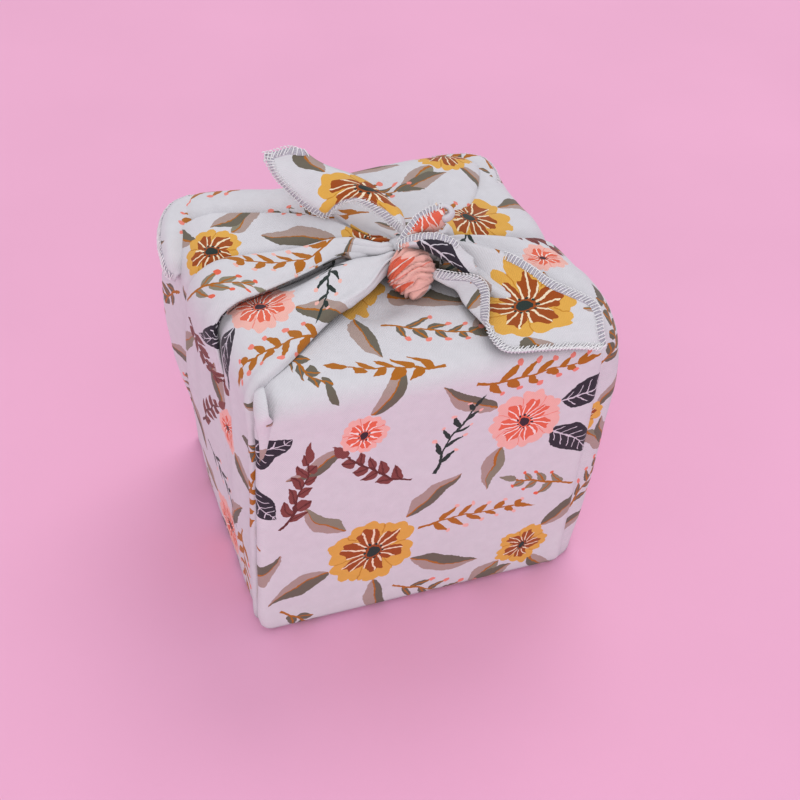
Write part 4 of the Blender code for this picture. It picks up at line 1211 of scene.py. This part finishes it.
def floor_material(colour):
    """Matt pink card the parcel stands on: even, with a faint felt-like mottle."""
    mat, tree, shader = new_material("matt_pink_card")
    place = own_place(tree)
    tint = mottled(tree, clouds(tree, place, scale=5.0, detail=5.0), low=0.25, high=0.75, dimmed=0.94,
                   colour=colour)
    felt = clouds(tree, place, scale=900.0, detail=2.0)
    surface(tree, shader, tint, felt, strength=0.2, distance=0.0002, roughness=0.72)
    return mat


# ---- hems ----
HEM_EDGES = (
    # sheet, which of its borders, share of the border it starts and ends at
    ("left_tail", "near", 0.06, 1.0),
    ("left_tail", "end", 0.0, 1.0),
    ("right_tail", "near", 0.05, 1.0),
    ("right_tail", "far", 0.34, 1.0),
    ("tongue", "near", 0.0, 0.97),
    ("wrap_edge", "near", 0.02, 0.74),
    ("left_back_lip", "near", 0.04, 0.96),
    ("right_back_lip", "near", 0.04, 0.96),
)
# Half of the hem's section: share of its width inwards, height over the cloth.
HEM_SECTION = ((1.0, 0.26), (0.8, 0.34), (0.5, 0.36), (0.12, 0.36), (-0.03, 0.26), (-0.06, 0.0))
HEM_WELD = 0.01          # points of a band closer than this are one
# Threads of a stitch: four control points each, in shares of hem width, pitch and
# thread, and the steps along them.
THREADS = (
    ((1.0, 0.0, 1.4), (0.7, 0.0, 2.7), (0.3, 0.05, 2.8), (-0.12, 0.12, 1.2), 4),
    ((-0.12, 0.12, 1.2), (0.25, 0.45, 2.9), (0.7, 0.8, 2.8), (1.0, 1.0, 1.5), 4),
    ((-0.10, 0.1, 1.6), (-0.24, 0.4, 0.6), (-0.24, 0.7, -0.6), (-0.10, 1.1, -1.6), 3),
    ((-0.12, 0.1, -1.2), (0.3, 0.2, -2.8), (0.7, 0.5, -2.8), (1.0, 0.6, -1.4), 4),
)


def hem_lines(grid, border, first, last, wide, pitch):
    """Points at the edge, the middle and the inner side of a hem, then their normals,
    one set for each stitch."""
    if border == "far":
        grid = grid[:, ::-1]
    elif border == "end":
        grid = grid[::-1].transpose(1, 0, 2)
    normal = unit(np.cross(np.gradient(grid, axis=0), np.gradient(grid, axis=1)))
    length = lengths(grid, 1).T
    sets = np.stack([at_distance(d, length, values.transpose(1, 0, 2))
                     for values in (grid, normal) for d in (0.0, wide * 0.5, wide)], axis=1)
    edge = lengths(sets[:, 0], 0)
    at = edge[-1] * np.linspace(first, last, max(int(edge[-1] * (last - first) / pitch), 3))
    out = np.stack([np.interp(at, edge, column) for column in sets.reshape(len(grid), -1).T], axis=-1)
    out = out.reshape(len(at), 6, 3)
    out[:, 3:] = unit(out[:, 3:])
    return out


def hem_band(cloth, lines, wide):
    """Closed band of thread round the cloth's edge."""
    edge, mid, inner = lines[:, 0], lines[:, 1], lines[:, 2]
    at_edge, at_mid, at_inner = lines[:, 3], lines[:, 4], lines[:, 5]
    inward = unit(mid - edge)
    section = [(s, h) for s, h in HEM_SECTION] + [(s, -h) for s, h in HEM_SECTION[-2::-1]]
    columns = []
    for s, h in section + section[:1]:
        if s > 0.5:
            p = mid + (inner - mid) * (s - 0.5) * 2
            n = unit(at_mid + (at_inner - at_mid) * (s - 0.5) * 2)
        elif s > 0:
            p = edge + (mid - edge) * s * 2
            n = unit(at_edge + (at_mid - at_edge) * s * 2)
        else:
            p, n = edge + inward * s * wide, at_edge
        columns.append(p + n * h)
    grid = np.stack(columns, axis=1)
    caps = [np.repeat(grid[k].mean(axis=0)[None], grid.shape[1], axis=0) for k in (0, -1)]
    grid = np.concatenate((caps[0][None], grid, caps[1][None]))
    cloth.add(grid, np.zeros(grid.shape[:2] + (2,)))


def stitch_tree():
    """Node tree: an overlock stitch of four threads on every point."""
    sizes = [(label, "Float") for label in ("Hem width", "Pitch", "Thread")]
    inputs = [("Geometry", "Geometry")] + sizes + [("Material", "Material")]
    tree, entry = new_group("overlock_stitches", inputs, (("Geometry", "Geometry"),), "Geometry")

    def add(kind, values, **settings):
        return add_node(tree, kind, values, **settings).outputs[0]

    sized = add("ShaderNodeCombineXYZ", [entry[label] for label, kind in sizes])
    profile = add("GeometryNodeCurvePrimitiveCircle", {"Resolution": 4, "Radius": entry["Thread"]})
    joined = add_node(tree, "GeometryNodeJoinGeometry")
    for *points, steps in THREADS:
        ends = [vector_math(tree, "MULTIPLY", sized, p) for p in points]
        names = ("Start", "Start Handle", "End Handle", "End")
        line = add("GeometryNodeCurvePrimitiveBezierSegment", {"Resolution": steps, **dict(zip(names, ends))})
        tube = add("GeometryNodeCurveToMesh", {"Curve": line, "Profile Curve": profile, "Fill Caps": True})
        tree.links.new(tube, joined.inputs[0])
    facing, inward = (
        add("GeometryNodeInputNamedAttribute", {"Name": name}, data_type="FLOAT_VECTOR")
        for name in ("facing", "inward"))
    aim = add("FunctionNodeAxesToRotation", (facing, inward), primary_axis="Z", secondary_axis="X")
    # hand-fed cloth: the stitches lean and stretch a little
    sway, stretch = (
        add("FunctionNodeRandomValue", {0: low, 1: high, "Seed": seed}, data_type="FLOAT_VECTOR")
        for low, high, seed in (((-0.03, -0.05, -0.11), (0.03, 0.05, 0.11), 7),
                                ((0.94, 0.95, 0.9), (1.07, 1.05, 1.15), 11)))
    sway = add("FunctionNodeEulerToRotation", (sway,))
    aim = add("FunctionNodeRotateRotation", (aim, sway), rotation_space="LOCAL")
    spread = add("GeometryNodeInstanceOnPoints", {"Points": entry["Geometry"], "Instance": joined.outputs[0],
                                                  "Rotation": aim, "Scale": stretch})
    real = add("GeometryNodeRealizeInstances", (spread,))
    painted = add("GeometryNodeSetMaterial", {"Geometry": real, "Material": entry["Material"]})
    add_node(tree, "NodeGroupOutput", (painted,))
    return tree


def sewn_stitches(lines, sizes, thread):
    """Mesh of the stitches, one at every set of lines."""
    points = bpy.data.meshes.new("stitch_points")
    points.from_pydata((lines[:, 0] * MM).tolist(), [], [])
    for name, values in (("inward", unit(lines[:, 2] - lines[:, 0])), ("facing", lines[:, 3])):
        layer = points.attributes.new(name, "FLOAT_VECTOR", "POINT")
        layer.data.foreach_set("vector", values.astype(np.float32).reshape(-1))
    carrier = bpy.data.objects.new("stitch_points", points)
    bpy.context.scene.collection.objects.link(carrier)
    sewing = carrier.modifiers.new("stitches", "NODES")
    sewing.node_group = stitch_tree()
    values = {"Hem width": sizes.width, "Pitch": sizes.pitch, "Thread": sizes.thread, "Material": thread}
    for item in sewing.node_group.interface.items_tree:
        if item.in_out == "INPUT" and item.name in values:
            sewing[item.identifier] = values[item.name]
    bpy.context.view_layer.update()
    sewn = bpy.data.meshes.new_from_object(carrier.evaluated_get(bpy.context.evaluated_depsgraph_get()))
    bpy.data.objects.remove(carrier, do_unlink=True)
    return sewn


def build_hems(shown, sizes):
    """The overlocked hems that show: the cloth's edge and the stitches round it."""
    thread, edge = thread_material(sizes.thread_colour), edge_material(sizes.edge_colour)
    wide, pitch = sizes.width / MM, sizes.pitch / MM
    bands = ClothParts()
    every = [hem_lines(shown[sheet], border, first, last, wide, pitch)
             for sheet, border, first, last in HEM_EDGES]
    for lines in every:
        hem_band(bands, lines, wide)
    sewn = sewn_stitches(np.concatenate(every), sizes, thread)
    band = bands.object("hem_stitches", HEM_WELD)
    bm = bmesh.new()
    bm.from_mesh(band.data)
    bmesh.ops.recalc_face_normals(bm, faces=bm.faces[:])
    band_faces = len(bm.faces)
    bm.from_mesh(sewn)
    bm.to_mesh(band.data)
    bm.free()
    band.data.materials.append(edge)
    band.data.materials.append(thread)
    for face in band.data.polygons:
        face.material_index = 0 if face.index < band_faces else 1
        face.use_smooth = True
    return band


# ---- stage ----
CAMERA_RIGHT = (0.94108, -0.33247, 0.06181)
CAMERA_UP = (0.18747, 0.66505, 0.72288)
CAMERA_BACK = (-0.28145, -0.66871, 0.68820)
CAMERA_PLACE = (-0.18865, -0.47792, 0.56509)
LENS, SENSOR = 58.5, 36.0
FLOOR_HALF = 4.0
# Place, target, size and colour of the two soft lamps.
WINDOW = ((1.1, 1.5, 3.0), (0, 0, 0.08), 1.9, (1.0, 0.985, 0.97))
FRONT_FILL = ((-0.8, -1.9, 1.2), (0, -0.1, 0.06), 1.8, (1.0, 0.95, 0.92))


def area_lamp(name, power, place, target, size, colour):
    data = bpy.data.lights.new(name, "AREA")
    data.shape, data.size, data.energy, data.color = "DISK", size, power, colour
    obj = bpy.data.objects.new(name, data)
    obj.location = place
    obj.rotation_euler = (Vector(target) - Vector(place)).to_track_quat("-Z", "Y").to_euler()
    bpy.context.scene.collection.objects.link(obj)


def ink_property(label, about, code):
    return bpy.props.FloatVectorProperty(name=label, description=about, subtype="COLOR", size=4,
                                         min=0.0, max=1.0, default=linear(code))


def size_property(label, about, default, low, high, **more):
    """A number with its range; a length unless it says otherwise."""
    settings = {"unit": "LENGTH", **more}
    return bpy.props.FloatProperty(name=label, description=about, default=default, min=low, max=high,
                                   **settings)


class WRAP_PG_cloth(bpy.types.PropertyGroup):
    thickness: size_property("Thickness", "Thickness of the twill", 0.0005, 0.0002, 0.0015, precision=5)
    ball_width: size_property("Ball width", "Width of the pleated ball in the knot", 0.0224, 0.018, 0.028,
                              precision=4)
    print_size: size_property("Print size", "Size of the motifs against the print's own", 1.0, 0.4, 2.5,
                              unit="NONE", subtype="FACTOR")
    ground: ink_property("Ground", "Unprinted cotton between the motifs", "#D9D7DC")
    mustard: ink_property("Mustard", "Outer petals of the large blooms", INKS["mustard"])
    rust: ink_property("Rust", "Hearts of the large blooms", INKS["rust"])
    blush: ink_property("Blush", "Outer petals of the pale blooms, and berries", INKS["blush"])
    coral: ink_property("Coral", "Hearts of the pale blooms", INKS["coral"])
    charcoal: ink_property("Charcoal", "Dark veined leaves", INKS["charcoal"])
    olive: ink_property("Olive", "Shaded half of the leaves", INKS["olive"])
    taupe: ink_property("Taupe", "Lit half of the leaves", INKS["taupe"])
    ochre: ink_property("Ochre", "Stems and ribs", INKS["ochre"])
    wine: ink_property("Wine", "Blades of the dark sprays", INKS["wine"])


class WRAP_PG_hems(bpy.types.PropertyGroup):
    width: size_property("Hem width", "Width of the overlock stitching", 0.0039, 0.002, 0.008, precision=4)
    pitch: size_property("Stitch pitch", "Distance from stitch to stitch", 0.00165, 0.001, 0.004, precision=5)
    thread: size_property("Thread radius", "Radius of the overlock thread", 0.0003, 0.0001, 0.0006,
                          precision=5)
    thread_colour: ink_property("Thread", "Overlock thread", "#FBFAFC")
    # painted shade: the edge colour stands darker than the cloth, for the shade of the threads
    edge_colour: ink_property("Edge", "Cut edge of the cotton between the threads", "#D3CDDA")


class WRAP_PG_stage(bpy.types.PropertyGroup):
    floor_colour: ink_property("Floor", "Pink card under the parcel", "#F5B1D4")
    room_light: size_property("Room light", "Strength of the even light from all round", 0.75, 0.0, 3.0,
                              unit="NONE")
    window_power: size_property("Window", "Power of the large soft lamp behind", 26.0, 0.0, 100.0,
                                unit="POWER")
    fill_power: size_property("Front fill", "Power of the soft lamp in front", 15.5, 0.0, 100.0, unit="POWER")


class WRAP_OT_stage(bpy.types.Operator):
    """Add the floor, the soft lamps and the camera"""
    bl_idname = "wrap.stage"
    bl_label = "Add stage"

    def execute(self, context):
        scene = context.scene
        sizes = scene.wrap_stage
        corners = [(x * FLOOR_HALF, y * FLOOR_HALF, 0) for x, y in ((-1, -1), (1, -1), (1, 1), (-1, 1))]
        mesh = bpy.data.meshes.new("floor")
        mesh.from_pydata(corners, [], [(0, 1, 2, 3)])
        floor = bpy.data.objects.new("floor", mesh)
        scene.collection.objects.link(floor)
        mesh.materials.append(floor_material(sizes.floor_colour))
        world = bpy.data.worlds.new("soft_room")
        world.use_nodes = True
        sky = world.node_tree.nodes["Background"]
        sky.inputs["Color"].default_value = linear("#F4F5FA")
        sky.inputs["Strength"].default_value = sizes.room_light
        scene.world = world
        area_lamp("window", sizes.window_power, *WINDOW)
        area_lamp("front_fill", sizes.fill_power, *FRONT_FILL)
        data = bpy.data.cameras.new("camera")
        data.lens, data.sensor_width, data.clip_start = LENS, SENSOR, 0.01
        camera = bpy.data.objects.new("camera", data)
        rows = zip(CAMERA_RIGHT, CAMERA_UP, CAMERA_BACK, CAMERA_PLACE)
        camera.matrix_world = Matrix([list(r) for r in rows] + [[0, 0, 0, 1]])
        scene.collection.objects.link(camera)
        scene.camera = camera
        scene.view_settings.view_transform = "Standard"
        return {"FINISHED"}


SHOWN = {}


class WRAP_OT_cloth(bpy.types.Operator):
    """Add the folded and knotted cloth"""
    bl_idname = "wrap.cloth"
    bl_label = "Add cloth"

    def execute(self, context):
        sizes = context.scene.wrap_cloth
        cloth, shown = build_cloth(sizes)
        SHOWN.update(shown)
        obj = cloth.object("furoshiki_cloth")
        obj.data.materials.append(cotton_material(sizes))
        shell = obj.modifiers.new("cloth_thickness", "SOLIDIFY")
        shell.thickness = sizes.thickness
        shell.offset = 0.0
        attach(obj, "root")
        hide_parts(NODE)
        return {"FINISHED"}


class WRAP_OT_hems(bpy.types.Operator):
    """Add the overlocked hems that show"""
    bl_idname = "wrap.hems"
    bl_label = "Add hems"

    def execute(self, context):
        cloth = bpy.data.objects.get("furoshiki_cloth")
        if cloth is None:
            raise RuntimeError("the hems need the cloth")
        obj = build_hems(SHOWN, context.scene.wrap_hems)
        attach(obj, "root")
        return {"FINISHED"}


class VIEW3D_PT_wrap(bpy.types.Panel):
    bl_label = "Furoshiki wrap"
    bl_space_type = "VIEW_3D"
    bl_region_type = "UI"
    bl_category = "Wrap"

    def draw(self, context):
        for part in ("stage", "cloth", "hems"):
            box = self.layout.box()
            sizes = getattr(context.scene, "wrap_" + part)
            for field in sizes.__annotations__:
                box.prop(sizes, field)
            box.operator("wrap." + part)


CLASSES = (WRAP_PG_cloth, WRAP_PG_hems, WRAP_PG_stage, WRAP_OT_stage, WRAP_OT_cloth, WRAP_OT_hems,
           VIEW3D_PT_wrap)


def register():
    for cls in CLASSES:
        bpy.utils.register_class(cls)
    bpy.types.Scene.wrap_cloth = bpy.props.PointerProperty(type=WRAP_PG_cloth)
    bpy.types.Scene.wrap_hems = bpy.props.PointerProperty(type=WRAP_PG_hems)
    bpy.types.Scene.wrap_stage = bpy.props.PointerProperty(type=WRAP_PG_stage)


def unregister():
    del bpy.types.Scene.wrap_cloth, bpy.types.Scene.wrap_hems, bpy.types.Scene.wrap_stage
    for cls in reversed(CLASSES):
        bpy.utils.unregister_class(cls)


def main():
    register()
    bpy.ops.wrap.stage()
    bpy.ops.wrap.cloth()
    bpy.ops.wrap.hems()


if __name__ == "__main__":
    main()
